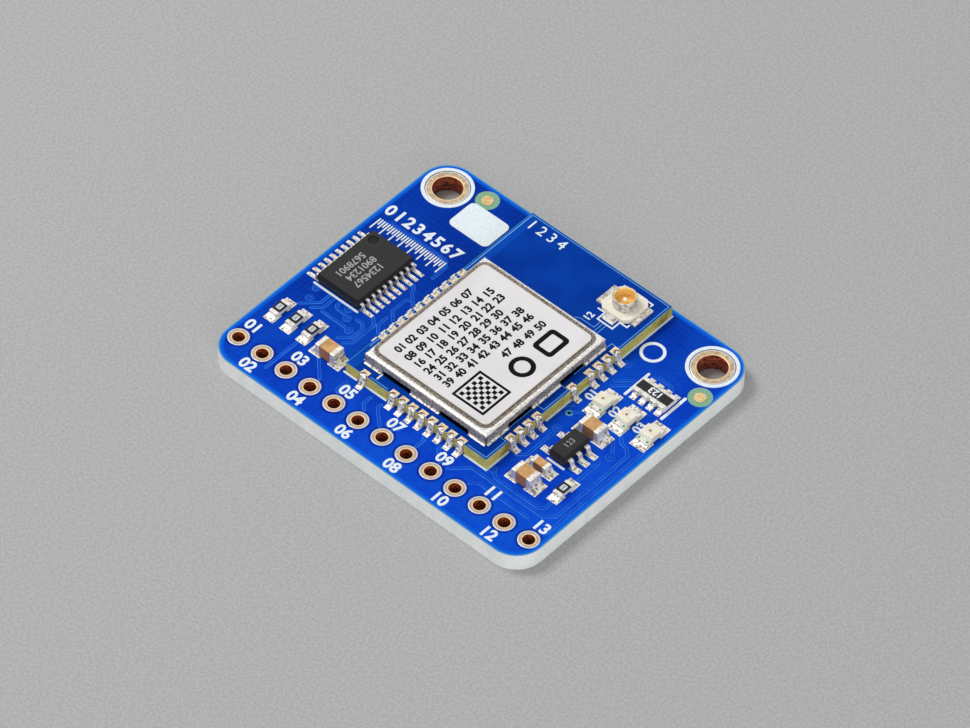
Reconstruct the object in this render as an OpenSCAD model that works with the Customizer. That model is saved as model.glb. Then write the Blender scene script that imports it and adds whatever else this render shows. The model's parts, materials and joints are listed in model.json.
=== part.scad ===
// Breakout board that carries a shielded radio module with a coaxial antenna socket.
// The origin is the centre of the carrier board's underside, X runs along the header row
// and Y runs from the header edge to the mounting-hole edge.

/* [Carrier board] */
// Length along the header row
board_l = 33.02; // [32.5:0.01:40]
// Width from the header edge to the mounting-hole edge
board_w = 27.94; // [27.5:0.01:34]
// Thickness of the laminate
board_t = 1.6; // [0.8:0.1:2.4]
// Radius of the four corners
board_corner_r = 2.54; // [0.5:0.01:2.54]
// Thickness of the tinned copper lands
land_t = 0.05; // [0.03:0.01:0.1]
// Thickness of the plating in every hole
plating_t = 0.05; // [0.03:0.01:0.08]
// Depth of the openings in the solder mask
mask_t = 0.03; // [0.02:0.01:0.05]

/* [Header row] */
// Spacing of the plated holes, as many as the board's length takes
header_pitch = 2.54; // [2:0.01:2.54]
// Finished bore of a hole
header_bore_d = 1.02; // [0.8:0.01:1.1]
// Outside diameter of a hole's ring
header_ring_d = 1.78; // [1.4:0.01:2]
// Distance of the row from the header edge
header_edge = 2.54; // [2:0.01:3]

/* [Mounting holes] */
// Finished bore of a mounting hole
mount_bore_d = 2.5; // [2.2:0.1:2.8]
// Outside diameter of the ring round it
mount_ring_d = 3.6; // [3.2:0.1:4]
// Distance of the hole centres from the rear edge and from the side edges
mount_edge = 2.54; // [2.3:0.01:3]

/* [Radio module] */
// Width of the module's own board
module_w = 14.73; // [14:0.01:15.5]
// Length of the module's own board
module_l = 21.72; // [21:0.01:22.2]
// Thickness of the module's own board
module_t = 1; // [0.6:0.1:1.2]
// Offset of the module from the carrier's centre line
module_x = 0.73; // [0:0.01:1.2]
// Distance of the module's front edge behind the header row
module_front = 3.04; // [2.9:0.01:3.6]
// Spacing of the plated half holes along the module's edges
edge_pitch = 1.016; // [1:0.001:1.05]
// Radius of a plated half hole
edge_hole_r = 0.28; // [0.2:0.01:0.32]
// Width of the ring pad on top of each half hole
edge_pad_w = 0.72; // [0.7:0.01:0.85]
// Reach of that pad in from the edge
edge_pad_l = 0.5; // [0.4:0.01:0.7]
// Distance from the module's front edge to the first side half hole
side_first = 2.96; // [2:0.01:3.1]
// Distance from the module's right edge to the first front half hole
front_first = 2.69; // [2:0.01:3]
// Length of the carrier's land outside the module
edge_land_out = 0.74; // [0.5:0.01:0.85]
// Length of that land under the module
edge_land_in = 0.7; // [0.5:0.01:1]
// Width of that land
edge_land_w = 0.56; // [0.4:0.01:0.7]

/* [Shield can] */
// Gap between the can and the module's side edges
can_side_gap = 0.99; // [0.9:0.01:1.3]
// Gap between the can and the module's front edge
can_front_gap = 1.06; // [0.7:0.01:1.15]
// Gap between the can and the module's rear edge, which leaves room for the socket
can_rear_gap = 6.76; // [6.4:0.01:7.4]
// Height of the can
can_h = 1.05; // [1:0.01:1.6]
// Thickness of the tinned sheet
can_t = 0.15; // [0.1:0.01:0.18]
// Outside radius of the fold round the top
can_fold_r = 0.2; // [0.19:0.01:0.4]
// Length of the two openings in the front and rear walls
front_slot_l = 3; // [2:0.1:3.4]
// Length of the two openings in the side walls
side_slot_l = 2.75; // [2:0.05:3.4]
// Distance of each opening from the middle of its wall
slot_offset = 3; // [2.4:0.1:3.6]
// Height of the openings
slot_h = 0.45; // [0.2:0.01:0.6]
// Width of the open seam down each corner
seam_w = 0.08; // [0.04:0.01:0.12]
// Margin of the label in from the can's left wall
label_left_gap = 0.49; // [0.4:0.01:1]
// Margin of the label in from the can's right wall
label_right_gap = 0.69; // [0.4:0.01:1]
// Margin of the label in from the can's front wall
label_front_gap = 0.73; // [0.4:0.01:1.2]
// Margin of the label in from the can's rear wall
label_rear_gap = 0.59; // [0.4:0.01:1.2]
// Thickness of the label
label_t = 0.08; // [0.05:0.01:0.12]
// Radius of the label's corners
label_r = 0.55; // [0.3:0.01:1]

/* [Coaxial socket] */
// Distance of the socket's axis from the module's right edge
coax_side_gap = 2.73; // [2.4:0.01:3.5]
// Distance of the socket's axis from the module's rear edge
coax_rear_gap = 2.56; // [2.3:0.01:3.2]
// Side of the moulded insulator
coax_base_w = 3; // [2.8:0.05:3.1]
// Height of the moulded insulator
coax_base_h = 0.36; // [0.3:0.01:0.5]
// Outside diameter of the ring contact
coax_ring_d = 2; // [1.8:0.01:2.2]
// Wall of the ring contact
coax_ring_t = 0.17; // [0.12:0.01:0.25]
// Height of the ring contact over the module's board
coax_h = 1.25; // [1.1:0.01:1.4]
// Diameter of the centre contact
coax_pin_d = 0.4; // [0.3:0.01:0.5]
// Height of the centre contact
coax_pin_h = 0.95; // [0.7:0.01:1.05]

/* [Level shifter] */
// Centre of the chip, in from the left edge and behind the header row
shifter_at = [4.06, 11.57]; // [0:0.01:30]
// Width of the moulding
shifter_w = 4.4; // [4.3:0.05:4.5]
// Length of the moulding
shifter_l = 6.5; // [6.4:0.05:6.8]
// Height of the moulding
shifter_h = 0.95; // [0.8:0.01:1.05]
// Distance across the lead tips
shifter_span = 6.4; // [6.2:0.05:6.6]
// Leads on each side
shifter_leads_per_side = 10; // [7:1:10]
// Spacing of the leads
shifter_pitch = 0.65; // [0.6:0.01:0.65]
// Width of a lead
shifter_lead_w = 0.24; // [0.18:0.01:0.3]
// Thickness of a lead
shifter_lead_t = 0.13; // [0.1:0.01:0.18]

/* [Regulator] */
// Centre of the chip, in from the right edge and behind the header row
regulator_at = [4.81, 8.63]; // [0:0.01:30]
// Width of the moulding
regulator_w = 1.62; // [1.5:0.01:1.7]
// Length of the moulding
regulator_l = 2.95; // [2.8:0.01:3.05]
// Height of the moulding
regulator_h = 1.1; // [0.95:0.01:1.2]
// Distance across the lead tips
regulator_span = 2.9; // [2.7:0.01:3]
// Spacing of the three leads on the right
regulator_pitch = 0.95; // [0.9:0.01:1]
// Width of a lead
regulator_lead_w = 0.4; // [0.3:0.01:0.5]
// Thickness of a lead
regulator_lead_t = 0.15; // [0.1:0.01:0.2]

/* [Capacitors] */
// Length of a large chip capacitor
cap_l = 2; // [1.9:0.01:2.1]
// Width of a large chip capacitor
cap_w = 1.25; // [1.15:0.01:1.35]
// Height of a large chip capacitor
cap_h = 1.2; // [0.85:0.01:1.25]
// Length of a small chip capacitor
small_cap_l = 1.6; // [1.5:0.01:1.7]
// Width of a small chip capacitor
small_cap_w = 0.8; // [0.7:0.01:0.9]
// Height of a small chip capacitor
small_cap_h = 0.8; // [0.7:0.01:0.9]
// Module supply capacitor, out from the module's left edge and behind the header row
module_cap_at = [2.02, 3.36]; // [0:0.01:30]
// Regulator output capacitor, in from the right edge and behind the header row
output_cap_at = [4.79, 11.35]; // [0:0.01:30]
// Regulator input capacitor, in from the right edge and behind the header row
input_cap_at = [5.36, 4.22]; // [0:0.01:30]
// Small bypass capacitor, in from the right edge and behind the header row
bypass_cap_at = [5.36, 5.95]; // [0:0.01:30]

/* [Resistors] */
// Length of a chip resistor
res_l = 1.6; // [1.5:0.01:1.7]
// Width of a chip resistor
res_w = 0.8; // [0.75:0.01:0.85]
// Height of a chip resistor
res_h = 0.45; // [0.35:0.01:0.55]
// First of the three pull-up resistors, in from the left edge and behind the header row
pull_up_at = [1.75, 4.2]; // [0:0.01:30]
// Spacing of the three pull-up resistors
pull_up_pitch = 1.73; // [1.5:0.01:2]
// Reset resistor, in from the right edge and behind the header row
reset_res_at = [2.54, 5.4]; // [0:0.01:30]
// Length of the four-way resistor array
array_l = 3.2; // [3.1:0.05:3.3]
// Width of the array
array_w = 1.6; // [1.5:0.05:1.7]
// Height of the array
array_h = 0.55; // [0.4:0.01:0.6]
// Spacing of the array's terminals
array_pitch = 0.84; // [0.8:0.01:0.85]
// Centre of the array, in from the right edge and behind the header row
array_at = [3.75, 17.41]; // [0:0.01:30]

/* [Indicator lamps] */
// Length of a lamp
led_l = 2; // [1.9:0.01:2.1]
// Width of a lamp
led_w = 1.25; // [1.15:0.01:1.3]
// Height of a lamp
led_h = 0.68; // [0.5:0.01:1.1]
// Thickness of a lamp's base
led_base_h = 0.3; // [0.2:0.01:0.4]
// Outermost lamp, in from the right edge and behind the header row
led_at = [1.36, 14.13]; // [0:0.01:30]
// Spacing of the three lamps
led_pitch = 2.44; // [2.2:0.01:2.5]

/* [Hidden] */

$fn = 48;
// How far a cutting shape runs past the face that it cuts
cut = 0.5;

// Edges and levels that the pieces share
left_edge = -board_l / 2;
right_edge = board_l / 2;
front_edge = -board_w / 2;
rear_edge = board_w / 2;
header_y = front_edge + header_edge;
land_top = board_t + land_t;
header_holes = 1 + floor((board_l - header_ring_d) / header_pitch);
module_left = module_x - module_w / 2;
module_y = header_y + module_front + module_l / 2;
can_w = module_w - 2 * can_side_gap;
can_l = module_l - can_front_gap - can_rear_gap;
can_y = (can_front_gap - can_rear_gap) / 2;
coax_x = module_w / 2 - coax_side_gap;
coax_y = module_l / 2 - coax_rear_gap;

// Places on the half-hole pitch that are used: eight and one at the front, four, one and
// four on the right, ten on the left
right_slots = [0, 1, 2, 3, 7, 9, 10, 11, 12];
left_slots = [1, 2, 3, 4, 5, 6, 7, 8, 9, 10];
front_slots = [0, 1, 2, 3, 4, 5, 6, 7, 10];
function side_y(k) = -module_l / 2 + side_first + k * edge_pitch;
function front_x(k) = module_w / 2 - front_first - k * edge_pitch;
edge_sites = concat([for (k = right_slots) [[module_w / 2, side_y(k)], 0]],
                    [for (k = left_slots) [[-module_w / 2, side_y(k)], 180]],
                    [for (k = front_slots) [[front_x(k), -module_l / 2], -90]]);

// Two-terminal chips: lands reach this far past each end, and this much wider
chip_land_out = 0.61;
chip_land_wide = 0.26;
// Share of a chip's length that stays bare between its lands
chip_land_bare = 0.4;
// Lands of the gull-wing leads: length, reach past the tips, and margin on each side
shifter_land_l = 1.3;
shifter_land_out = 0.27;
shifter_land_side = 0.05;
regulator_land_l = 0.95;
regulator_land_out = 0.5;
regulator_land_side = 0.08;
// Lands of the resistor array, and the notches between its terminals
array_land_l = 0.75;
array_land_out = 0.55;
array_land_w = 0.55;
array_terminal_w = 0.5;
array_wrap_l = 0.38;
array_notch_r = 0.15;

// Share of a chip's length that each metal end covers
cap_end_share = 0.22;
res_end_share = 0.2;
// Thickness of the metal ends on a chip
end_t = 0.04;
// Radius on the edges of a capacitor's metal ends
end_r = 0.1;

// Solder: height of its thin outer edge, and its rise as a share of a chip's height
solder_toe = 0.03;
solder_share = 0.65;
solder_steps = 6;
// Solder in a half hole: its rise as a share of the module's board, the radius of its
// round crown, and the run of its toe over the land
edge_solder_share = 0.94;
edge_solder_crown = 0.14;
edge_solder_run = 0.42;

// Gull-wing leads
lead_slope = 78;
lead_stub = 0.14;
lead_bend_steps = 4;
// Underside of a moulded chip over its lands
stand_off = 0.1;
// Draft on each side of a moulded chip
draft = 0.09;

// Parts under the can: length, width and height of each, and the place of its middle in
// shares of the way from the can's middle to its walls
inside_w = can_w - 2 * can_t;
inside_l = can_l - 2 * can_t;
inside_h = can_h - can_t;
radio_side = 5;
radio_h = 0.8 * inside_h;
radio_at = [0.19, 0.09];
radio_contacts = 10;
radio_contact_pitch = 0.4;
radio_contact_t = 0.05;
radio_pad_w = 3.4;
flash_size = [2, 3, 0.65 * inside_h];
flash_at = [-0.66, 0.43];
crystal_size = [2.5, 2, 0.62 * inside_h];
crystal_lid = [2.2, 1.7, 0.1];
crystal_at = [-0.64, -0.18];
inductor_size = [1.6, 1.6, 0.85 * inside_h];
inductor_core_d = 1.28;
inductor_sites = [[-0.63, -0.63], [-0.26, 0.76]];
inner_cap = [1, 0.5, 0.5];
inner_cap_sites = [for (x = [-0.34, -0.1, 0.16, 0.5]) [x, -0.82],
                   for (y = [-0.5, -0.18, 0.15, 0.47]) [0.83, y],
                   for (x = [0.23, 0.52]) [x, 0.82]];

// Tabs of the coaxial socket's contacts, and the lands under them
coax_tab_t = 0.12;
coax_ground_tab_l = 2.2;
coax_ground_span = 4.06;
coax_ground_land_w = 1.05;
coax_signal_tab_w = 0.7;
coax_signal_tab_end = 1.85;
coax_signal_land_w = 1.15;
coax_signal_land_l = 1.2;
coax_signal_land_end = 2.15;
// Height at which the ring contact's full wall starts, over two legs
coax_seat = 0.2;
coax_leg_w = 1.1;
coax_leg_in = 0.2;

// Lamps: length of each wrapped terminal, and the emitting die
lamp_end_l = 0.34;
lamp_die = [0.26, 0.26, 0.12];

// Via with an open hole, in from the right edge and behind the header row
via_at = [7.56, 11.7];
via_bore_d = 0.3;
via_ring_d = 0.64;

// Fiducial marks: bare copper dots in round openings of the solder mask
fiducial_d = 1;
fiducial_window_d = 2;
// In from the left or right edge and from the rear edge
left_fiducial_at = [5.76, 1.4];
right_fiducial_at = [1.18, 5.58];
fiducial_sites = [[left_edge + left_fiducial_at.x, rear_edge - left_fiducial_at.y],
                  [right_edge - right_fiducial_at.x, rear_edge - right_fiducial_at.y]];

function from_left(at) = [left_edge + at.x, header_y + at.y];
function from_right(at) = [right_edge - at.x, header_y + at.y];
function from_module(at) = [module_left - at.x, header_y + at.y];
header_sites = [for (i = [0:header_holes - 1])
                [(i - (header_holes - 1) / 2) * header_pitch, header_y]];
mount_sites = [for (side = [-1, 1])
               [side * (board_l / 2 - mount_edge), rear_edge - mount_edge]];
resistor_sites = concat([for (i = [0:2]) from_left(pull_up_at + [i * pull_up_pitch, 0])],
                        [from_right(reset_res_at)]);
lamp_sites = [for (i = [0:2]) from_right(led_at + [i * led_pitch, 0])];
large_cap_sites = [from_module(module_cap_at), from_right(output_cap_at),
                   from_right(input_cap_at)];

// Moves a piece onto the carrier's lands
module on_carrier(site, turn = 0) {
    translate([site.x, site.y, land_top]) rotate(turn) children();
}

// Moves a piece into the module's frame: its middle, on the underside of its board
module on_module() {
    translate([module_x, module_y, land_top]) children();
}

// Repeats a piece at every half hole, with X pointing out of the module
module at_edge_sites() {
    for (site = edge_sites) translate(site[0]) rotate(site[1]) children();
}

// Box centred in X and Y that stands on z = 0
module block(x, y, z) {
    translate([-x / 2, -y / 2, 0]) cube([x, y, z]);
}

// Rectangle with round corners, centred
module round_rect(x, y, r) {
    square([x - 2 * r, y], center = true);
    square([x, y - 2 * r], center = true);
    for (sx = [-1, 1], sy = [-1, 1]) translate([sx * (x / 2 - r), sy * (y / 2 - r)]) circle(r);
}

// Box with all twelve edges rounded, standing on z = 0
module soft_block(x, y, z, r) {
    translate([0, 0, z / 2]) intersection() {
        linear_extrude(z, center = true) round_rect(x, y, r);
        rotate([90, 0, 0]) linear_extrude(y, center = true) round_rect(x, z, r);
        rotate([90, 0, 90]) linear_extrude(x, center = true) round_rect(y, z, r);
    }
}

// Plated hole: a thin barrel with a flat ring flush with each face of its board
module plated_hole(bore_d, ring_d, depth) {
    bore = bore_d / 2;
    ring = ring_d / 2;
    rotate_extrude()
        polygon([[bore, 0], [ring, 0], [ring, plating_t], [bore + plating_t, plating_t],
                 [bore + plating_t, depth - plating_t], [ring, depth - plating_t],
                 [ring, depth], [bore, depth]]);
}

// Room that a plated hole takes up in its board
module plated_hole_room(bore_d, ring_d, depth) {
    translate([0, 0, -cut]) cylinder(d = bore_d + 2 * plating_t, h = depth + 2 * cut);
    translate([0, 0, -cut]) cylinder(d = ring_d, h = plating_t + cut);
    translate([0, 0, depth - plating_t]) cylinder(d = ring_d, h = plating_t + cut);
}

// Hollow curve of a solder fillet that climbs a wall at x = 0 and runs out to x = run
function solder_curve(run, rise) =
    [for (i = [0:solder_steps]) let (a = 90 * i / solder_steps)
     [run * (1 - cos(a)), solder_toe + (rise - solder_toe) * (1 - sin(a))]];

// Solder fillet against a wall on its -X side
module solder_fillet(run, rise, width) {
    rotate([90, 0, 0]) linear_extrude(width, center = true)
        polygon(concat([[0, 0]], solder_curve(run, rise), [[run, 0]]));
}

// Moulded chip body with drafted sides that meet at the lead plane, standing on z = 0
module moulding(x, y, z) {
    intersection() {
        rotate([90, 0, 0]) linear_extrude(y, center = true) drafted_side(x, z);
        rotate([90, 0, 90]) linear_extrude(x, center = true) drafted_side(y, z);
    }
}

module drafted_side(across, z) {
    wide = across / 2;
    narrow = wide - draft;
    polygon([[-narrow, 0], [narrow, 0], [wide, z / 2], [narrow, z], [-narrow, z],
             [-wide, z / 2]]);
}

// Outline of a gull-wing lead that leaves the moulding at x = 0 and height drop, bends
// down the lead slope, bends back and ends in a foot at x = reach; t is its thickness
function lead_profile(reach, drop, t) =
    let (r = t,
         leg = (drop - 2 * r * (1 - cos(lead_slope))) / sin(lead_slope),
         knee = [lead_stub, drop - r],
         heel = [lead_stub + 2 * r * sin(lead_slope) + leg * cos(lead_slope), r],
         turns = [for (i = [0:lead_bend_steps]) lead_slope * i / lead_bend_steps],
         down = [for (i = [0:lead_bend_steps]) lead_slope * (1 - i / lead_bend_steps)],
         outer = r + t / 2,
         inner = r - t / 2)
    concat([[0, drop + t / 2]],
           [for (a = turns) knee + outer * [sin(a), cos(a)]],
           [for (a = down) heel - inner * [sin(a), cos(a)]],
           [[reach, t / 2], [reach, -t / 2]],
           [for (a = turns) heel - outer * [sin(a), cos(a)]],
           [for (a = down) knee + inner * [sin(a), cos(a)]],
           [[0, drop - t / 2]]);

// One gull-wing lead with its foot on z = 0, leaving the moulding at x = root
module gull_wing(root, tip, exit_z, w, t) {
    translate([root, 0, t / 2]) rotate([90, 0, 0]) linear_extrude(w, center = true)
        polygon(lead_profile(tip - root, exit_z - t / 2, t));
}

// Ceramic body of a chip capacitor
module capacitor_body(l, w, h) {
    translate([0, 0, end_t]) block(l - 2 * end_t, w - 2 * end_t, h - 2 * end_t);
}

// The two metal ends that wrap round a chip capacitor
module capacitor_metal(l, w, h) {
    end_l = cap_end_share * l;
    difference() {
        soft_block(l, w, h, end_r);
        translate([0, 0, -cut]) block(l - 2 * end_l, w + cut, h + 2 * cut);
        capacitor_body(l, w, h);
    }
}

// The two lands of a two-terminal chip, on the carrier's surface
module chip_lands(l, w) {
    span = l + 2 * chip_land_out;
    land_l = (span - chip_land_bare * l) / 2;
    for (side = [-1, 1]) translate([side * (span - land_l) / 2, 0, -land_t])
        block(land_l, w + chip_land_wide, land_t);
}

// Solder against both ends of a two-terminal chip
module chip_fillets(l, w, h) {
    for (turn = [0, 180]) rotate(turn) translate([l / 2, 0, 0])
        solder_fillet(chip_land_out - solder_toe, solder_share * h, w);
}

// Repeats a piece at each lead of the level shifter, with X pointing outwards
module at_shifter_leads() {
    for (turn = [0, 180], i = [0:shifter_leads_per_side - 1])
        on_carrier(from_left(shifter_at), turn)
            translate([0, (i - (shifter_leads_per_side - 1) / 2) * shifter_pitch, 0])
                children();
}

// Repeats a piece at each lead of the regulator: three on the right, two on the left
module at_regulator_leads() {
    for (i = [-1, 0, 1]) on_carrier(from_right(regulator_at))
        translate([0, i * regulator_pitch, 0]) children();
    for (i = [-1, 1]) on_carrier(from_right(regulator_at), 180)
        translate([0, i * regulator_pitch, 0]) children();
}

// Repeats a piece at each of the array's eight terminals, with X pointing outwards
module at_array_terminals() {
    for (turn = [90, -90], i = [-1.5:1.5]) on_carrier(from_right(array_at), turn)
        translate([array_w / 2, i * array_pitch, 0]) children();
}

// Laminate with its header, mounting and via holes and its two mask openings
module carrier_board() {
    color("royalblue") difference() {
        linear_extrude(board_t) round_rect(board_l, board_w, board_corner_r);
        for (site = header_sites) translate(site)
            plated_hole_room(header_bore_d, header_ring_d, board_t);
        for (site = mount_sites) translate(site)
            plated_hole_room(mount_bore_d, mount_ring_d, board_t);
        translate(from_right(via_at)) plated_hole_room(via_bore_d, via_ring_d, board_t);
        for (site = fiducial_sites) translate([site.x, site.y, board_t - mask_t])
            cylinder(d = fiducial_window_d, h = cut);
    }
}

module header_hole_plating() {
    color("goldenrod") for (site = header_sites) translate(site)
        plated_hole(header_bore_d, header_ring_d, board_t);
}

module mounting_hole_plating() {
    color("goldenrod") for (site = mount_sites) translate(site)
        plated_hole(mount_bore_d, mount_ring_d, board_t);
}

module via_plating() {
    color("goldenrod") translate(from_right(via_at))
        plated_hole(via_bore_d, via_ring_d, board_t);
}

module fiducials() {
    color("goldenrod") for (site = fiducial_sites) translate([site.x, site.y, board_t - mask_t])
        cylinder(d = fiducial_d, h = land_t);
}

// Tinned copper lands under every soldered part
module carrier_lands() {
    color("silver") {
        on_module() at_edge_sites() translate([(edge_land_out - edge_land_in) / 2, 0, -land_t])
            block(edge_land_out + edge_land_in, edge_land_w, land_t);
        at_shifter_leads()
            translate([shifter_span / 2 + shifter_land_out - shifter_land_l / 2, 0, -land_t])
                block(shifter_land_l, shifter_lead_w + 2 * shifter_land_side, land_t);
        at_regulator_leads()
            translate([regulator_span / 2 + regulator_land_out - regulator_land_l / 2, 0, -land_t])
                block(regulator_land_l, regulator_lead_w + 2 * regulator_land_side, land_t);
        at_array_terminals()
            translate([array_land_out - array_land_l / 2, 0, -land_t])
                block(array_land_l, array_land_w, land_t);
        for (site = resistor_sites) on_carrier(site, 90) chip_lands(res_l, res_w);
        for (site = large_cap_sites) on_carrier(site) chip_lands(cap_l, cap_w);
        on_carrier(from_right(bypass_cap_at)) chip_lands(small_cap_l, small_cap_w);
        for (site = lamp_sites) on_carrier(site, 90) chip_lands(led_l, led_w);
    }
}

// The module's laminate, with a half hole cut at each edge site
module module_board() {
    color("darkblue") on_module() difference() {
        block(module_w, module_l, module_t);
        at_edge_sites() translate([0, 0, -cut])
            cylinder(r = edge_hole_r + plating_t, h = module_t + 2 * cut);
    }
}

// Half barrels with their ring pads on top of the module's board
module module_edge_plating() {
    color("goldenrod") on_module() at_edge_sites() difference() {
        union() {
            cylinder(r = edge_hole_r + plating_t, h = module_t);
            translate([-edge_pad_l / 2, 0, module_t]) block(edge_pad_l, edge_pad_w, plating_t);
        }
        translate([0, 0, -cut]) cylinder(r = edge_hole_r, h = module_t + 2 * cut);
        translate([edge_pad_w / 2, 0, -cut]) block(edge_pad_w, edge_pad_w, module_t + 2 * cut);
    }
}

// Solder that fills each half hole, with a round crown, and runs out over its land
module module_edge_solder() {
    crown = edge_solder_crown;
    rise = edge_solder_share * module_t;
    foot = crown + edge_solder_run;
    width = edge_land_w - 2 * solder_toe;
    crown_curve = [for (i = [0:solder_steps]) let (a = 90 * i / solder_steps)
                   crown * [sin(a), cos(a) - 1] + [0, rise]];
    toe_curve = [for (p = solder_curve(edge_solder_run, rise - crown)) p + [crown, 0]];
    color("silver") on_module() at_edge_sites() intersection() {
        rotate([90, 0, 0]) linear_extrude(edge_land_w, center = true)
            polygon(concat([[-edge_hole_r, 0], [-edge_hole_r, rise]],
                           crown_curve, toe_curve, [[foot, 0]]));
        linear_extrude(module_t) {
            circle(edge_hole_r);
            translate([0, -width / 2]) square([edge_land_out, width]);
        }
    }
}

// Box with its top edges rounded, from two crossed profiles
module folded_block(x, y, z, r) {
    intersection() {
        rotate([90, 0, 0]) linear_extrude(y, center = true) folded_side(x, z, r);
        rotate([90, 0, 90]) linear_extrude(x, center = true) folded_side(y, z, r);
    }
}

module folded_side(across, z, r) {
    translate([-across / 2, 0]) square([across, z - r]);
    translate([r - across / 2, 0]) square([across - 2 * r, z]);
    for (side = [-1, 1]) translate([side * (across / 2 - r), z - r]) circle(r);
}

// Can folded from one sheet: a top, four walls with two openings each and open corner seams
module shield_can() {
    color("lightgray") on_module() translate([0, can_y, module_t]) difference() {
        folded_block(can_w, can_l, can_h, can_fold_r);
        translate([0, 0, -cut])
            folded_block(inside_w, inside_l, inside_h + cut, can_fold_r - can_t);
        for (side = [-1, 1]) {
            translate([side * slot_offset, 0, -cut])
                block(front_slot_l, can_l + 2 * cut, slot_h + cut);
            translate([0, side * slot_offset, -cut])
                block(can_w + 2 * cut, side_slot_l, slot_h + cut);
        }
        for (sx = [-1, 1], sy = [-1, 1])
            translate([sx * can_w / 2, sy * can_l / 2, -cut]) rotate(sx * sy * 45)
                block(4 * can_t, seam_w, can_h - can_fold_r + cut);
    }
}

// Solder seams along the feet of the can
module shield_can_solder() {
    run = 0.16;
    rise = 0.14;
    front_foot = can_w / 2 - slot_offset - front_slot_l / 2;
    side_foot = can_l / 2 - slot_offset - side_slot_l / 2;
    front_middle = 2 * slot_offset - front_slot_l;
    side_middle = 2 * slot_offset - side_slot_l;
    color("silver") on_module() translate([0, can_y, module_t]) for (turn = [0, 180])
        rotate(turn) {
            translate([can_w / 2, 0, 0]) solder_fillet(run, rise, side_middle);
            translate([0, can_l / 2, 0]) rotate(90) solder_fillet(run, rise, front_middle);
            for (side = [-1, 1]) {
                translate([can_w / 2, side * (can_l - side_foot) / 2, 0])
                    solder_fillet(run, rise, side_foot - run);
                translate([side * (can_w - front_foot) / 2, can_l / 2, 0]) rotate(90)
                    solder_fillet(run, rise, front_foot - run);
            }
        }
}

module can_label() {
    label_w = can_w - label_left_gap - label_right_gap;
    label_l = can_l - label_front_gap - label_rear_gap;
    label_x = (label_left_gap - label_right_gap) / 2;
    label_y = can_y + (label_front_gap - label_rear_gap) / 2;
    color("white") on_module() translate([label_x, label_y, module_t + can_h])
        linear_extrude(label_t) round_rect(label_w, label_l, label_r);
}

// Places a part that stands on the module's board under the can
module inside_can(at) {
    on_module() translate([at.x * inside_w / 2, can_y + at.y * inside_l / 2, module_t])
        children();
}

// Flat leadless package that stands on its contacts, with a round mark at its first one
module radio_chip() {
    mark_in = 0.6;
    mark_d = 0.5;
    mark_depth = 0.04;
    color("dimgray") inside_can(radio_at) difference() {
        translate([0, 0, radio_contact_t])
            block(radio_side, radio_side, radio_h - radio_contact_t);
        translate([mark_in - radio_side / 2, radio_side / 2 - mark_in, radio_h - mark_depth])
            cylinder(d = mark_d, h = cut);
    }
}

// Square pad under the middle of the radio chip and a row of contacts along each side
module radio_chip_contacts() {
    contact_l = 0.4;
    color("silver") inside_can(radio_at) {
        block(radio_pad_w, radio_pad_w, radio_contact_t);
        for (turn = [0:90:270], i = [0:radio_contacts - 1]) rotate(turn)
            translate([(radio_side - contact_l) / 2,
                       (i - (radio_contacts - 1) / 2) * radio_contact_pitch, 0])
                block(contact_l, radio_contact_pitch / 2, radio_contact_t);
    }
}

// Memory chip beside the radio chip
module flash_chip() {
    color("dimgray") inside_can(flash_at) block(flash_size.x, flash_size.y, flash_size.z);
}

// Ceramic base with a smaller metal lid seamed on top
module crystal() {
    lid_r = 0.2;
    base_h = crystal_size.z - crystal_lid.z;
    color("lightgray") inside_can(crystal_at) {
        block(crystal_size.x, crystal_size.y, base_h);
        translate([0, 0, base_h]) linear_extrude(crystal_lid.z)
            round_rect(crystal_lid.x, crystal_lid.y, lid_r);
    }
}

// Ferrite drum cores with a square flange at the foot and at the top
module power_inductors() {
    flange_h = inductor_size.z / 4;
    color("dimgray") for (at = inductor_sites) inside_can(at) {
        block(inductor_size.x, inductor_size.y, flange_h);
        cylinder(d = inductor_core_d, h = inductor_size.z);
        translate([0, 0, inductor_size.z - flange_h])
            block(inductor_size.x, inductor_size.y, flange_h);
    }
}

module module_capacitors() {
    color("tan") for (at = inner_cap_sites) inside_can(at)
        capacitor_body(inner_cap.x, inner_cap.y, inner_cap.z);
}

module module_capacitor_ends() {
    color("silver") for (at = inner_cap_sites) inside_can(at)
        capacitor_metal(inner_cap.x, inner_cap.y, inner_cap.z);
}

// Moves a piece onto the axis of the coaxial socket, on the lands of the module's board
module on_coax() {
    on_module() translate([coax_x, coax_y, module_t + land_t]) children();
}

// Three tinned lands under the socket's tabs
module coax_lands() {
    color("silver") on_coax() {
        for (side = [-1, 1])
            translate([side * (coax_ground_span - coax_ground_land_w) / 2, 0, -land_t])
                block(coax_ground_land_w, coax_ground_tab_l, land_t);
        translate([0, coax_signal_land_l / 2 - coax_signal_land_end, -land_t])
            block(coax_signal_land_w, coax_signal_land_l, land_t);
    }
}

// Moulded square with cut corners, round the ring contact and the pin
module coax_insulator() {
    corner = 0.45;
    half = coax_base_w / 2;
    color("antiquewhite") on_coax() difference() {
        linear_extrude(coax_base_h)
            polygon([[-half + corner, -half], [half - corner, -half], [half, -half + corner],
                     [half, half - corner], [half - corner, half], [-half + corner, half],
                     [-half, half - corner], [-half, -half + corner]]);
        coax_tube(coax_seat, coax_base_h + cut);
        coax_legs(cut);
        translate([0, 0, -cut]) cylinder(d = coax_pin_d, h = coax_base_h + 2 * cut);
        translate([0, -coax_signal_tab_end / 2, -cut])
            block(coax_signal_tab_w, coax_signal_tab_end, coax_tab_t + cut);
    }
}

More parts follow.
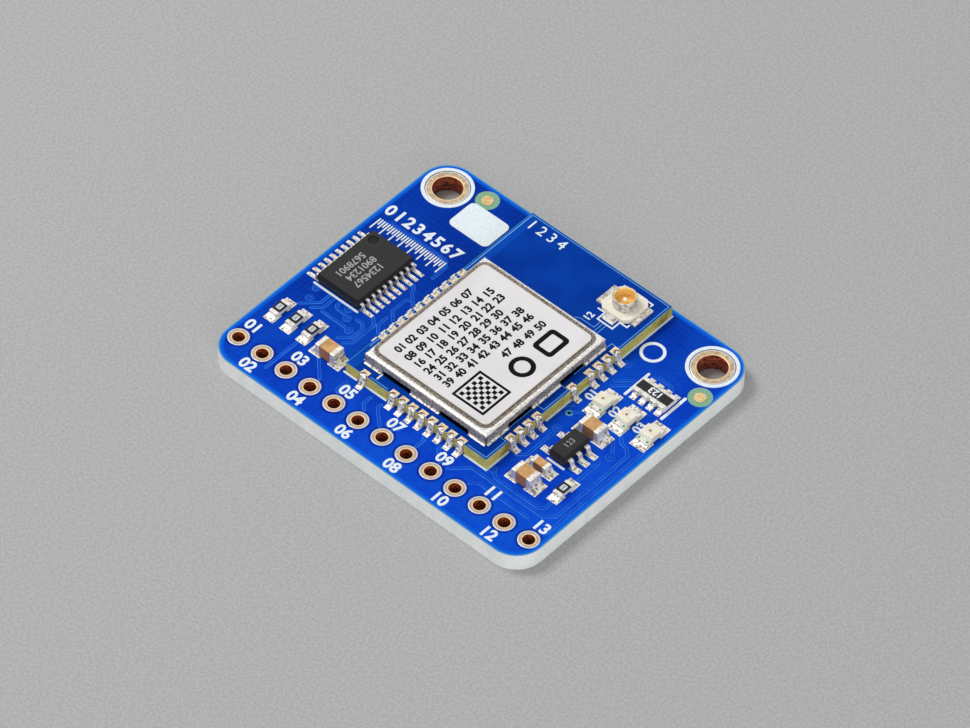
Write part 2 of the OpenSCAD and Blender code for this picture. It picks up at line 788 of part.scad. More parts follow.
// Tube between two heights, as thick as the ring contact's wall
module coax_tube(bottom, top) {
    difference() {
        translate([0, 0, bottom]) cylinder(d = coax_ring_d, h = top - bottom);
        translate([0, 0, bottom - cut])
            cylinder(d = coax_ring_d - 2 * coax_ring_t, h = top - bottom + 2 * cut);
    }
}

// Two tabs with their legs up to the ring; below is how far they run on past the foot
module coax_legs(below = 0) {
    inner = coax_ring_d / 2 - coax_ring_t;
    for (side = [-1, 1]) {
        translate([side * (inner + coax_ground_span / 2) / 2, 0, -below])
            block(coax_ground_span / 2 - inner, coax_ground_tab_l, coax_tab_t + below);
        intersection() {
            coax_tube(-below, coax_seat);
            translate([side * coax_ring_d / 2, 0, -below])
                block(coax_ring_d - 2 * coax_leg_in, coax_leg_w, coax_seat + below);
        }
    }
}

// Ring contact: a turned wall with a snap groove outside and a flared mouth, on two tabs
module coax_ring_contact() {
    outer = coax_ring_d / 2;
    inner = outer - coax_ring_t;
    groove = 0.06;
    lip = 0.32;
    shoulder = coax_base_h + 0.1;
    color("gold") on_coax() {
        rotate_extrude()
            polygon([[inner, coax_seat], [outer, coax_seat], [outer, shoulder],
                     [outer - groove, shoulder + groove], [outer - groove, coax_h - lip],
                     [outer, coax_h - lip + groove], [outer, coax_h - groove],
                     [outer - groove, coax_h], [inner + groove, coax_h],
                     [inner, coax_h - groove]]);
        coax_legs();
    }
}

// Centre contact: a domed pin on a flat tab that leaves under the insulator
module coax_centre_contact() {
    dome = coax_pin_d / 4;
    half = coax_pin_d / 2;
    color("gold") on_coax() {
        rotate_extrude()
            polygon([[0, 0], [half, 0], [half, coax_pin_h - dome], [half - dome, coax_pin_h],
                     [0, coax_pin_h]]);
        translate([0, -coax_signal_tab_end / 2, 0])
            block(coax_signal_tab_w, coax_signal_tab_end, coax_tab_t);
    }
}

// Moulded body with a round dimple at its first lead
module level_shifter() {
    dimple_d = 0.9;
    dimple_in = 0.82;
    dimple_depth = 0.06;
    color("dimgray") on_carrier(from_left(shifter_at)) translate([0, 0, stand_off])
        difference() {
            moulding(shifter_w, shifter_l, shifter_h);
            translate([dimple_in - shifter_w / 2, shifter_l / 2 - dimple_in,
                       shifter_h - dimple_depth])
                cylinder(d = dimple_d, h = cut);
        }
}

module level_shifter_leads() {
    color("silver") at_shifter_leads()
        gull_wing(shifter_w / 2, shifter_span / 2, stand_off + shifter_h / 2,
                  shifter_lead_w, shifter_lead_t);
}

module regulator() {
    color("dimgray") on_carrier(from_right(regulator_at)) translate([0, 0, stand_off])
        moulding(regulator_w, regulator_l, regulator_h);
}

module regulator_leads() {
    color("silver") at_regulator_leads()
        gull_wing(regulator_w / 2, regulator_span / 2, stand_off + regulator_h / 2,
                  regulator_lead_w, regulator_lead_t);
}

// Solder at the toe of every gull-wing lead
module lead_solder() {
    shifter_run = 0.22;
    regulator_run = 0.42;
    color("silver") {
        at_shifter_leads() translate([shifter_span / 2, 0, 0])
            solder_fillet(shifter_run, shifter_lead_t, shifter_lead_w);
        at_regulator_leads() translate([regulator_span / 2, 0, 0])
            solder_fillet(regulator_run, regulator_lead_t, regulator_lead_w);
    }
}

module module_supply_capacitor() {
    color("tan") on_carrier(from_module(module_cap_at)) capacitor_body(cap_l, cap_w, cap_h);
}

module output_capacitor() {
    color("tan") on_carrier(from_right(output_cap_at)) capacitor_body(cap_l, cap_w, cap_h);
}

module input_capacitor() {
    color("tan") on_carrier(from_right(input_cap_at)) capacitor_body(cap_l, cap_w, cap_h);
}

module bypass_capacitor() {
    color("tan") on_carrier(from_right(bypass_cap_at))
        capacitor_body(small_cap_l, small_cap_w, small_cap_h);
}

module capacitor_ends() {
    color("silver") {
        for (site = large_cap_sites) on_carrier(site) capacitor_metal(cap_l, cap_w, cap_h);
        on_carrier(from_right(bypass_cap_at))
            capacitor_metal(small_cap_l, small_cap_w, small_cap_h);
    }
}

// White ceramic slips of the chip resistors
module resistor_bases() {
    color("white") for (site = resistor_sites) on_carrier(site, 90)
        translate([0, 0, end_t]) block(res_l - 2 * end_t, res_w, res_h - 3 * end_t);
}

// Dark glaze over the resistive film, between the metal ends
module resistor_glaze() {
    color("black") for (site = resistor_sites) on_carrier(site, 90)
        translate([0, 0, res_h - 2 * end_t]) block(res_l * (1 - 2 * res_end_share), res_w,
                                                    2 * end_t);
}

// Metal ends that wrap over the top, end and underside of each resistor
module resistor_ends() {
    end_l = res_end_share * res_l;
    color("silver") for (site = resistor_sites) on_carrier(site, 90) difference() {
        block(res_l, res_w, res_h - end_t);
        translate([0, 0, -cut]) block(res_l - 2 * end_l, res_w + cut, res_h + 2 * cut);
        translate([0, 0, end_t]) block(res_l - 2 * end_t, res_w + cut, res_h - 3 * end_t);
    }
}

// The array's notches lie half way between its terminals
module array_notches() {
    for (side = [-1, 1], i = [-1, 0, 1])
        translate([i * array_pitch, side * array_w / 2, -cut])
            cylinder(r = array_notch_r, h = array_h + 2 * cut);
}

// White ceramic slip of the resistor array, notched between its terminals
module array_base() {
    color("white") on_carrier(from_right(array_at)) difference() {
        translate([0, 0, end_t]) block(array_l, array_w - 2 * end_t, array_h - 3 * end_t);
        array_notches();
    }
}

module array_glaze() {
    color("black") on_carrier(from_right(array_at)) translate([0, 0, array_h - 2 * end_t])
        block(array_l, array_w - 2 * array_wrap_l, 2 * end_t);
}

module array_terminals() {
    color("silver") at_array_terminals() difference() {
        translate([-array_wrap_l / 2, 0, 0]) block(array_wrap_l, array_terminal_w,
                                                   array_h - end_t);
        translate([-end_t - array_wrap_l, 0, end_t])
            block(2 * array_wrap_l, array_terminal_w + cut, array_h - 3 * end_t);
    }
}

module lamp_bases() {
    color("antiquewhite") for (site = lamp_sites) on_carrier(site, 90)
        translate([0, 0, end_t]) block(led_l - 2 * end_t, led_w, led_base_h - 2 * end_t);
}

// Clear lens, cast over the base between the terminals with sloping ends
module lamp_lenses() {
    foot = led_l / 2 - lamp_end_l;
    slope = 0.12;
    color("ivory") for (site = lamp_sites) on_carrier(site, 90) difference() {
        translate([0, 0, led_base_h - end_t]) rotate([90, 0, 0])
            linear_extrude(led_w, center = true)
                polygon([[-foot, 0], [foot, 0], [foot - slope, led_h - led_base_h + end_t],
                         [slope - foot, led_h - led_base_h + end_t]]);
        translate([0, 0, led_base_h - end_t]) block(lamp_die.x, lamp_die.y, lamp_die.z);
    }
}

module lamp_dies() {
    color("dimgray") for (site = lamp_sites) on_carrier(site, 90)
        translate([0, 0, led_base_h - end_t]) block(lamp_die.x, lamp_die.y, lamp_die.z);
}

// Metal that wraps over the top, end and underside of a lamp's base
module lamp_terminals() {
    color("silver") for (site = lamp_sites) on_carrier(site, 90) difference() {
        block(led_l, led_w, led_base_h);
        translate([0, 0, -cut]) block(led_l - 2 * lamp_end_l, led_w + cut, led_base_h + 2 * cut);
        translate([0, 0, end_t]) block(led_l - 2 * end_t, led_w + cut, led_base_h - 2 * end_t);
    }
}

// Solder at the ends of every two-terminal chip and at the array's terminals
module chip_solder() {
    array_run = 0.5;
    color("silver") {
        for (site = resistor_sites) on_carrier(site, 90) chip_fillets(res_l, res_w, res_h);
        for (site = large_cap_sites) on_carrier(site) chip_fillets(cap_l, cap_w, cap_h);
        on_carrier(from_right(bypass_cap_at))
            chip_fillets(small_cap_l, small_cap_w, small_cap_h);
        for (site = lamp_sites) on_carrier(site, 90) chip_fillets(led_l, led_w, led_base_h);
        at_array_terminals() solder_fillet(array_run, solder_share * array_h,
                                           array_terminal_w);
    }
}

carrier_board();
header_hole_plating();
mounting_hole_plating();
via_plating();
fiducials();
carrier_lands();
module_board();
module_edge_plating();
module_edge_solder();
shield_can();
shield_can_solder();
can_label();
radio_chip();
radio_chip_contacts();
flash_chip();
crystal();
power_inductors();
module_capacitors();
module_capacitor_ends();
coax_lands();
coax_insulator();
coax_ring_contact();
coax_centre_contact();
level_shifter();
level_shifter_leads();
regulator();
regulator_leads();
lead_solder();
module_supply_capacitor();
output_capacitor();
input_capacitor();
bypass_capacitor();
capacitor_ends();
resistor_bases();
resistor_glaze();
resistor_ends();
array_base();
array_glaze();
array_terminals();
lamp_bases();
lamp_lenses();
lamp_dies();
lamp_terminals();
chip_solder();
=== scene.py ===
import json
import math

import bpy
from mathutils import Matrix, Vector


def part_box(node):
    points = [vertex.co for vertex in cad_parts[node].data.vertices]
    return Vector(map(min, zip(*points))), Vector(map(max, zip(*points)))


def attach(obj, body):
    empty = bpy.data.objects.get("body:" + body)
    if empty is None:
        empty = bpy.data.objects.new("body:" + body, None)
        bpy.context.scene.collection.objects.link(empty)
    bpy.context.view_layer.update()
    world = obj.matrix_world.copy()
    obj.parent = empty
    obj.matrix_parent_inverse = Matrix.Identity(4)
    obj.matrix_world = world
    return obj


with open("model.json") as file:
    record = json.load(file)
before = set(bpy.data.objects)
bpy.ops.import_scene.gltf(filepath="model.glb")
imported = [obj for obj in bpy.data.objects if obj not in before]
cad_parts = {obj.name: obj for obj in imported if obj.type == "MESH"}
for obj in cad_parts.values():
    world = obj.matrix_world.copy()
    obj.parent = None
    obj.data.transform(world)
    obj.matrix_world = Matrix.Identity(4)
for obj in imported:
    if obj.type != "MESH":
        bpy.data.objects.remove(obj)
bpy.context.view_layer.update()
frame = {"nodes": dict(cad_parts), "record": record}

# Looks of a radio module on a breakout board. Sizes are in millimetres of the row frame
# until an object is made, which is in metres.
nodes = frame["nodes"]
MM = 0.001


def node_box(name):
    """Lowest and highest corner of a CAD node, in millimetres."""
    low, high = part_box(name)
    return low / MM, high / MM


def middle(name):
    """Centre of a CAD node's box, in millimetres."""
    low, high = node_box(name)
    return (low + high) / 2


board_low, board_high = node_box("carrier_board")
module_low, module_high = node_box("module_board")
can_low, can_high = node_box("shield_can")
label_low, label_high = node_box("can_label")
header_low, header_high = node_box("header_hole_plating")
mount_low, mount_high = node_box("mounting_hole_plating")
dies_low, dies_high = node_box("lamp_dies")
coax_axis = middle("coax_ring_contact")
BOARD_TOP = board_high.z
MODULE_TOP = module_high.z
LABEL_TOP = label_high.z
SHIFTER_TOP = node_box("level_shifter")[1].z

# Corner radii seen from above
BOARD_CORNER = 2.54
MODULE_CORNER = 0.02
CAN_CORNER = 0.2
LABEL_CORNER = 0.55

# Holes and lamps that repeat, read from the nodes, and the radii of the plated bores
PINS = 13
HEADER_Y = (header_low.y + header_high.y) / 2
HEADER_RING = (header_high.y - header_low.y) / 2
PITCH = (header_high.x - header_low.x - 2 * HEADER_RING) / (PINS - 1)
MOUNT_Y = (mount_low.y + mount_high.y) / 2
MOUNT_RING = (mount_high.y - mount_low.y) / 2
MOUNT_X = mount_high.x - MOUNT_RING
HEADER_BORE = 0.51
MOUNT_BORE = 1.25
LAMP_DIE = dies_high.y - dies_low.y
LAMP_PITCH = (dies_high.x - dies_low.x - LAMP_DIE) / 2

# Thickness of the thin layers, and how deep they are let into what carries them
COPPER_T = 0.02
INK_T = 0.045
LABEL_INK_T = 0.008
COPPER_EDGE_T = 0.012
GREEN_INK_T = 0.012
MARK_T = 0.006
BAR_T = 0.004
SUNK = 0.01

# Sockets of a colour mix
MIX_SHARE, MIX_FIRST, MIX_SECOND, MIX_RESULT = 0, 6, 7, 2


# ---------------------------------------------------------------- materials

def rgb(red, green, blue):
    """Linear colour from 0 to 255 display values."""
    def linear(v):
        v /= 255
        return v / 12.92 if v <= 0.04045 else ((v + 0.055) / 1.055) ** 2.4
    return linear(red), linear(green), linear(blue), 1


class Finish:
    """A material and short ways to build its nodes, with coordinates in millimetres."""

    def __init__(self, name, **sockets):
        self.material = bpy.data.materials.new(name)
        self.material.use_nodes = True
        self.tree = self.material.node_tree
        self.shader = self.tree.nodes["Principled BSDF"]
        for socket, value in sockets.items():
            self.shader.inputs[socket.replace("_", " ")].default_value = value
        coordinates = self.tree.nodes.new("ShaderNodeTexCoord")
        self.place = self.vector("SCALE", coordinates.outputs["Object"], Scale=1 / MM)
        split = self.tree.nodes.new("ShaderNodeSeparateXYZ")
        self.link(self.place, split.inputs[0])
        self.x, self.y, self.z = split.outputs
        facing = self.tree.nodes.new("ShaderNodeSeparateXYZ")
        self.link(coordinates.outputs["Normal"], facing.inputs[0])
        self.flat = self.math("GREATER_THAN", self.math("ABSOLUTE", facing.outputs[2]), 0.5)

    def link(self, source, socket):
        if hasattr(source, "is_linked"):
            self.tree.links.new(source, socket)
        else:
            socket.default_value = source

    def math(self, operation, *values):
        node = self.tree.nodes.new("ShaderNodeMath")
        node.operation = operation
        for socket, value in zip(node.inputs, values):
            self.link(value, socket)
        return node.outputs[0]

    def vector(self, operation, *values, **named):
        node = self.tree.nodes.new("ShaderNodeVectorMath")
        node.operation = operation
        for socket, value in zip(node.inputs, values):
            self.link(value, socket)
        for name, value in named.items():
            self.link(value, node.inputs[name])
        return node.outputs[0]

    def mix(self, share, first, second):
        node = self.tree.nodes.new("ShaderNodeMix")
        node.data_type = "RGBA"
        self.link(share, node.inputs[MIX_SHARE])
        self.link(first, node.inputs[MIX_FIRST])
        self.link(second, node.inputs[MIX_SECOND])
        return node.outputs[MIX_RESULT]

    def noise(self, per_mm, detail=2, roughness=0.5, stretch=(1, 1, 1), offset=0):
        place = self.vector("MULTIPLY", self.place, stretch)
        node = self.tree.nodes.new("ShaderNodeTexNoise")
        node.noise_dimensions = "4D"
        self.link(place, node.inputs["Vector"])
        node.inputs["W"].default_value = offset
        node.inputs["Scale"].default_value = per_mm
        node.inputs["Detail"].default_value = detail
        node.inputs["Roughness"].default_value = roughness
        return node.outputs[0]

    def step(self, value, low, high, start=0, end=1):
        """Runs smoothly from start to end as value goes from low to high."""
        node = self.tree.nodes.new("ShaderNodeMapRange")
        node.interpolation_type = "SMOOTHSTEP"
        for socket, number in zip(node.inputs, (value, low, high, start, end)):
            self.link(number, socket)
        return node.outputs[0]

    def edge_distance(self, low, high, radius):
        """Distance out of a rectangle with round corners, seen from above."""
        half = ((high.x - low.x) / 2 - radius, (high.y - low.y) / 2 - radius)
        centre = ((high.x + low.x) / 2, (high.y + low.y) / 2)
        across = [self.math("SUBTRACT", self.math("ABSOLUTE", self.math("SUBTRACT", v, c)), h)
                  for v, c, h in zip((self.x, self.y), centre, half)]
        out = [self.math("MAXIMUM", v, 0) for v in across]
        corner = self.length(*out)
        inside = self.math("MINIMUM", self.math("MAXIMUM", *across), 0)
        return self.math("SUBTRACT", self.math("ADD", corner, inside), radius)

    def length(self, x, y):
        return self.math("SQRT", self.math("ADD", self.math("MULTIPLY", x, x),
                                           self.math("MULTIPLY", y, y)))

    def colour(self, value):
        self.link(value, self.shader.inputs["Base Color"])

    def roughness(self, share, smooth, rough):
        self.link(self.step(share, 0.25, 0.75, smooth, rough), self.shader.inputs["Roughness"])

    def metallic(self, value):
        self.link(value, self.shader.inputs["Metallic"])

    def bump(self, height, depth):
        node = self.tree.nodes.new("ShaderNodeBump")
        node.inputs["Strength"].default_value = 1
        node.inputs["Distance"].default_value = depth * MM
        self.link(height, node.inputs["Height"])
        self.link(node.outputs[0], self.shader.inputs["Normal"])


def wave(f, value, per_mm):
    """Sine wave from 0 to 1."""
    sine = f.math("SINE", f.math("MULTIPLY", value, per_mm * 2 * math.pi))
    return f.math("ADD", f.math("MULTIPLY", sine, 0.5), 0.5)


def glass_weave(f, pitch):
    """Faint cloth pattern that shows through the solder mask."""
    return f.math("MULTIPLY", wave(f, f.x, 1 / pitch), wave(f, f.y, 1 / pitch))


def from_axis(f, axis):
    """Distance from an upright axis."""
    return f.length(f.math("SUBTRACT", f.x, axis.x), f.math("SUBTRACT", f.y, axis.y))


def from_row(f, first, pitch, y):
    """Distance from the nearest of the upright axes in a row along X."""
    steps = f.math("DIVIDE", f.math("SUBTRACT", f.x, first), pitch)
    across = f.math("MULTIPLY", f.math("SUBTRACT", steps, f.math("ROUND", steps)), pitch)
    return f.length(across, f.math("SUBTRACT", f.y, y))


def from_header(f):
    """Distance from the axis of the nearest header hole."""
    return from_row(f, header_low.x + HEADER_RING, PITCH, HEADER_Y)


def from_mount(f):
    """Distance from the axis of the nearest mounting hole."""
    return f.length(f.math("SUBTRACT", f.math("ABSOLUTE", f.x), MOUNT_X),
                    f.math("SUBTRACT", f.y, MOUNT_Y))


def laminate_edge(f, pale, dark):
    """Cut edge of a glass-fibre board: stacked plies with short cut fibres."""
    plies = wave(f, f.z, 5)
    fibres = f.noise(8, 3, 0.75, (1, 1, 2.6), offset=3)
    streaks = f.noise(1.3, 2, 0.5, (1, 1, 0.3), offset=8)
    share = f.math("ADD", f.math("MULTIPLY", plies, 0.10),
                   f.math("ADD", f.math("MULTIPLY", fibres, 0.65),
                          f.math("MULTIPLY", streaks, 0.25)))
    return f.mix(f.step(share, 0.35, 0.72), pale, dark)


def ring_shade(f, away, ring, width):
    """Share that is 1 just outside a ring pad, where the mask steps down to its opening; it
    places painted shade there.
    """
    return f.math("MULTIPLY", f.step(away, ring - 0.02, ring + 0.04),
                  f.step(away, ring + width, ring + 0.4 * width))


def carrier_mask():
    """Blue mask, deeper towards the rear, with paler rims where it thins and a painted highlight
    along the very rim, over a pale cut edge.
    """
    f = Finish("carrier_mask", Specular_IOR_Level=0.03)
    out = f.edge_distance(board_low, board_high, BOARD_CORNER)
    cloud = f.noise(0.22, 2, 0.45, offset=5)
    mottle = f.noise(2.6, 3, 0.55, offset=2)
    share = f.math("ADD", f.math("MULTIPLY", cloud, 0.7), f.math("MULTIPLY", mottle, 0.3))
    near = f.mix(f.step(share, 0.36, 0.64), rgb(4, 60, 194), rgb(10, 80, 210))
    far = f.mix(f.step(share, 0.36, 0.64), rgb(0, 46, 152), rgb(2, 58, 170))
    blue = f.mix(f.step(f.math("SUBTRACT", f.y, f.math("MULTIPLY", f.x, 0.8)), -14, 16),
                 near, far)
    blue = f.mix(f.math("MULTIPLY", glass_weave(f, 0.46), 0.12), blue, rgb(8, 92, 222))

    # Painted shade at the steps of the mask round the header and mounting rings
    shade = ring_shade(f, from_header(f), HEADER_RING, 0.3)
    blue = f.mix(f.math("MULTIPLY", shade, 0.6), blue, rgb(2, 26, 120))
    shade = ring_shade(f, from_mount(f), MOUNT_RING, 0.12)
    blue = f.mix(f.math("MULTIPLY", shade, 0.85), blue, rgb(40, 48, 70))

    # Paler blue towards the board's edge, where the mask thins, then a painted highlight along
    # the very rim
    rim = f.mix(f.step(out, -0.55, -0.3), blue, rgb(6, 96, 220))
    rim = f.mix(f.step(out, -0.20, -0.10), rim, rgb(84, 146, 200))
    # Painted highlight: a pale line along the very rim
    face = f.mix(f.step(out, -0.06, -0.01), rim, rgb(150, 184, 200))

    # Green laminate in the fiducials' windows, which are let into the top
    well = f.mix(f.noise(5, 2, 0.6, offset=7), rgb(108, 160, 136), rgb(156, 194, 158))
    window = f.math("MULTIPLY", f.math("LESS_THAN", f.z, BOARD_TOP - 0.01),
                    f.math("GREATER_THAN", f.z, BOARD_TOP - 0.06))
    face = f.mix(window, face, well)
    edge = laminate_edge(f, rgb(255, 255, 255), rgb(216, 224, 224))
    f.colour(f.mix(f.flat, edge, face))
    f.roughness(mottle, 0.25, 0.5)
    f.bump(f.noise(3.5, 3, 0.55, offset=4), 0.006)
    return f.material


def covered_copper():
    """Solder mask over raised copper: near the mask's blue on top, with a painted highlight on
    the paler sloping sides.
    """
    f = Finish("covered_copper", Specular_IOR_Level=0.06)
    rise = f.step(f.z, BOARD_TOP + 0.85 * COPPER_T, BOARD_TOP + 0.98 * COPPER_T)
    mottle = f.noise(1.5, 2, 0.5, offset=2)
    top = f.mix(f.step(mottle, 0.2, 0.8), rgb(4, 66, 192), rgb(8, 84, 208))
    # Painted highlight: the sloping sides of the traces are paler than their tops
    side = f.mix(f.step(mottle, 0.2, 0.8), rgb(40, 114, 222), rgb(72, 148, 236))
    f.colour(f.mix(rise, side, top))
    f.roughness(mottle, 0.25, 0.4)
    f.bump(mottle, 0.003)
    return f.material


def module_mask():
    """Darker mask, painted near-black as deep shade under the can, over laminate with a
    yellow-green cut edge that is scorched in places."""
    f = Finish("module_mask", Specular_IOR_Level=0.03)
    out = f.edge_distance(module_low, module_high, MODULE_CORNER)
    cloud = f.noise(0.35, 2, 0.4, offset=6)
    blue = f.mix(f.step(cloud, 0.35, 0.65), rgb(0, 52, 152), rgb(2, 60, 164))
    blue = f.mix(f.math("MULTIPLY", glass_weave(f, 0.4), 0.12), blue, rgb(8, 84, 196))
    left = f.step(f.x, module_low.x + 0.95, module_low.x + 0.85)
    blue = f.mix(f.math("MULTIPLY", left, 0.35), blue, rgb(10, 92, 205))
    # Painted shade: the mask goes near-black within the can's footprint and just outside its
    # walls
    painted_shade_under_can = f.step(f.edge_distance(can_low, can_high, CAN_CORNER), 0.10, -0.02)
    blue = f.mix(painted_shade_under_can, blue, rgb(3, 6, 12))
    # Painted highlight: a pale line along the module's rim
    face = f.mix(f.step(out, -0.07, -0.02), blue, rgb(70, 150, 190))
    cut = f.noise(2.2, 3, 0.65, (1, 1, 2.4), offset=9)
    burn = f.noise(0.45, 2, 0.5, (1, 1, 0.4), offset=1)
    edge = f.mix(f.step(cut, 0.3, 0.75), rgb(212, 202, 104), rgb(160, 146, 60))
    edge = f.mix(f.math("MULTIPLY", wave(f, f.z, 5), 0.3), edge, rgb(222, 216, 150))
    edge = f.mix(f.step(burn, 0.56, 0.8), edge, rgb(88, 66, 22))
    f.colour(f.mix(f.flat, edge, face))
    f.roughness(cloud, 0.3, 0.55)
    f.bump(f.noise(3.5, 3, 0.55, offset=4), 0.005)
    return f.material


def drilled_wall(f):
    """Rough brown copper of a hole's wall."""
    drill = f.noise(3.4, 3, 0.75, (1, 1, 2.2), offset=2)
    return f.mix(f.step(drill, 0.4, 0.6), rgb(188, 88, 50), rgb(52, 14, 6))


def ring_plating(name, distance, bore, ring, pale, dark):
    """Plated hole: bright gold at the drill's edge, greyer on the ring, pale at its rim."""
    f = Finish(name)
    away = distance(f)
    patch = f.noise(3.2, 3, 0.65, offset=1)
    face = f.mix(f.step(patch, 0.34, 0.66), pale, dark)
    face = f.mix(f.step(away, bore + 0.13, bore + 0.06), face, rgb(240, 202, 152))
    face = f.mix(f.step(away, ring - 0.13, ring - 0.06), face, rgb(218, 213, 208))
    f.colour(f.mix(f.flat, drilled_wall(f), face))
    f.metallic(f.math("MULTIPLY", f.flat, 0.35))
    f.roughness(patch, 0.28, 0.45)
    f.bump(f.noise(7, 3, 0.6, offset=3), 0.008)
    return f.material


def gold_plating():
    """Flash gold of the half holes, cream on their pads with a few brown specks."""
    f = Finish("gold_plating")
    patch = f.noise(4.5, 3, 0.6, offset=1)
    pad = f.mix(f.step(patch, 0.32, 0.7), rgb(246, 234, 204), rgb(222, 194, 144))
    pad = f.mix(f.step(f.noise(4, 2, 0.6, offset=5), 0.58, 0.66, 0, 0.7), pad, rgb(110, 72, 36))
    f.colour(f.mix(f.flat, drilled_wall(f), pad))
    f.metallic(f.math("MULTIPLY", f.flat, 0.3))
    f.roughness(patch, 0.26, 0.45)
    f.bump(f.noise(7, 3, 0.6, offset=3), 0.008)
    return f.material


def covered_via():
    """Plated via with a dark bore, whose ring lies under thin blue-green mask."""
    f = Finish("covered_via")
    patch = f.noise(4, 3, 0.6, offset=1)
    ring = f.mix(f.step(patch, 0.3, 0.7), rgb(96, 176, 186), rgb(48, 128, 168))
    f.colour(f.mix(f.flat, rgb(50, 20, 12), ring))
    f.roughness(patch, 0.3, 0.5)
    f.bump(patch, 0.006)
    return f.material


def bright_metal(name, pale, dark, rough, specks=0.0, wavy=2.2, depth=0.02, metal=0.55,
                 clean=0.57):
    """Reflowed tin or solder: bright, gently uneven, with dark flux specks, which are fewer
    the higher clean is."""
    f = Finish(name, Metallic=metal)
    patch = f.noise(wavy * 2, 3, 0.6, offset=1)
    tone = f.mix(f.step(patch, 0.35, 0.72), pale, dark)
    speck = f.step(f.noise(4.6, 2, 0.6, offset=5), clean, clean + 0.07, 0, specks)
    f.colour(f.mix(speck, tone, rgb(88, 64, 44)))
    f.roughness(patch, rough, rough * 1.8)
    f.bump(f.noise(wavy, 3, 0.5, offset=7), depth)
    return f.material


def can_sheet():
    """Tin-plated sheet, speckled: a painted highlight towards the fold, rough brown tin with
    painted shade beside the label, a painted shadow line at the label's edge, and walls painted
    greyer as shade.
    """
    f = Finish("can_sheet")
    speckle = f.noise(7, 3, 0.8, offset=2)
    stain = f.noise(1.1, 3, 0.6, (1, 1, 0.5), offset=4)
    # Pale tin with a painted highlight, used towards the fold
    bright = f.mix(f.step(speckle, 0.40, 0.60), rgb(190, 186, 180), rgb(246, 245, 242))
    # Rough brown tin with painted shade, used beside the label
    rough_tin_and_painted_shade = f.mix(f.step(speckle, 0.38, 0.62), rgb(52, 42, 34), rgb(158, 150, 140))
    # Walls painted greyer than the top as shade
    wall = f.mix(f.step(speckle, 0.40, 0.60), rgb(104, 98, 92), rgb(206, 203, 198))
    out = f.edge_distance(label_low, label_high, LABEL_CORNER)
    top = f.mix(f.step(out, 0.28, 0.42), rough_tin_and_painted_shade, bright)
    # Painted shadow: a dark line right round the label's edge
    top = f.mix(f.step(out, 0.07, 0.02), top, rgb(44, 34, 28))
    tone = f.mix(f.flat, wall, top)
    f.colour(f.mix(f.step(stain, 0.5, 0.8, 0, 0.45), tone, rgb(128, 106, 82)))
    f.metallic(f.math("MULTIPLY_ADD", f.flat, 0.35, 0.5))
    f.roughness(speckle, 0.28, 0.5)
    f.bump(f.math("ADD", speckle, f.math("MULTIPLY", stain, 1.5)), 0.014)
    return f.material


def label_film():
    """Satin white film with a faint grain and painted shade on its rim."""
    f = Finish("label_film", Specular_IOR_Level=0.15)
    grain = f.noise(6, 3, 0.6, offset=1)
    cloud = f.noise(0.3, 2, 0.5, offset=3)
    film = f.mix(f.step(cloud, 0.3, 0.7), rgb(231, 229, 230), rgb(223, 221, 222))
    film = f.mix(f.step(grain, 0.55, 0.8, 0, 0.4), film, rgb(206, 202, 204))
    out = f.edge_distance(label_low, label_high, LABEL_CORNER)
    # Painted shade: a darker, warmer rim round the label's edge
    f.colour(f.mix(f.step(out, -0.10, 0), film, rgb(196, 186, 174)))
    f.roughness(grain, 0.4, 0.6)
    f.bump(grain, 0.004)
    return f.material


def chip_moulding():
    """Charcoal epoxy with a dark dimple beside the first lead of the level shifter."""
    f = Finish("chip_moulding", Specular_IOR_Level=0.2)
    grain = f.noise(16, 3, 0.7, offset=2)
    cloud = f.noise(0.8, 2, 0.5, offset=4)
    tone = f.mix(f.step(grain, 0.35, 0.7), rgb(24, 24, 26), rgb(52, 51, 51))
    tone = f.mix(f.step(cloud, 0.3, 0.75, 0, 0.5), tone, rgb(38, 37, 36))
    dimple = f.math("MULTIPLY", f.math("LESS_THAN", f.z, SHIFTER_TOP - 0.01), f.flat)
    f.colour(f.mix(dimple, tone, rgb(12, 12, 12)))
    f.roughness(grain, 0.45, 0.7)
    f.bump(grain, 0.01)
    return f.material


def fired_ceramic():
    """Tan capacitor ceramic with its pressed layers just showing on sides painted darker as
    shade.
    """
    f = Finish("fired_ceramic", Specular_IOR_Level=0.35)
    blotch = f.noise(1.8, 3, 0.6, offset=3)
    tone = f.mix(f.step(blotch, 0.3, 0.7), rgb(216, 170, 112), rgb(186, 134, 80))
    # Painted shade: the sides are a darker brown than the top
    layered_sides_painted_shade = f.mix(f.math("MULTIPLY", wave(f, f.z, 9), 0.2), rgb(166, 116, 66),
                    rgb(120, 76, 40))
    f.colour(f.mix(f.flat, layered_sides_painted_shade, tone))
    f.roughness(blotch, 0.3, 0.5)
    f.bump(f.noise(12, 3, 0.6, offset=5), 0.008)
    return f.material


def plain_grain(name, pale, dark, rough, per_mm=6, depth=0.008, **sockets):
    """Moulded, printed or fired surface with a soft two-tone grain."""
    f = Finish(name, **sockets)
    grain = f.noise(per_mm, 3, 0.6, offset=2)
    f.colour(f.mix(f.step(grain, 0.3, 0.72), pale, dark))
    f.roughness(grain, rough * 0.8, rough * 1.2)
    f.bump(grain, depth)
    return f.material


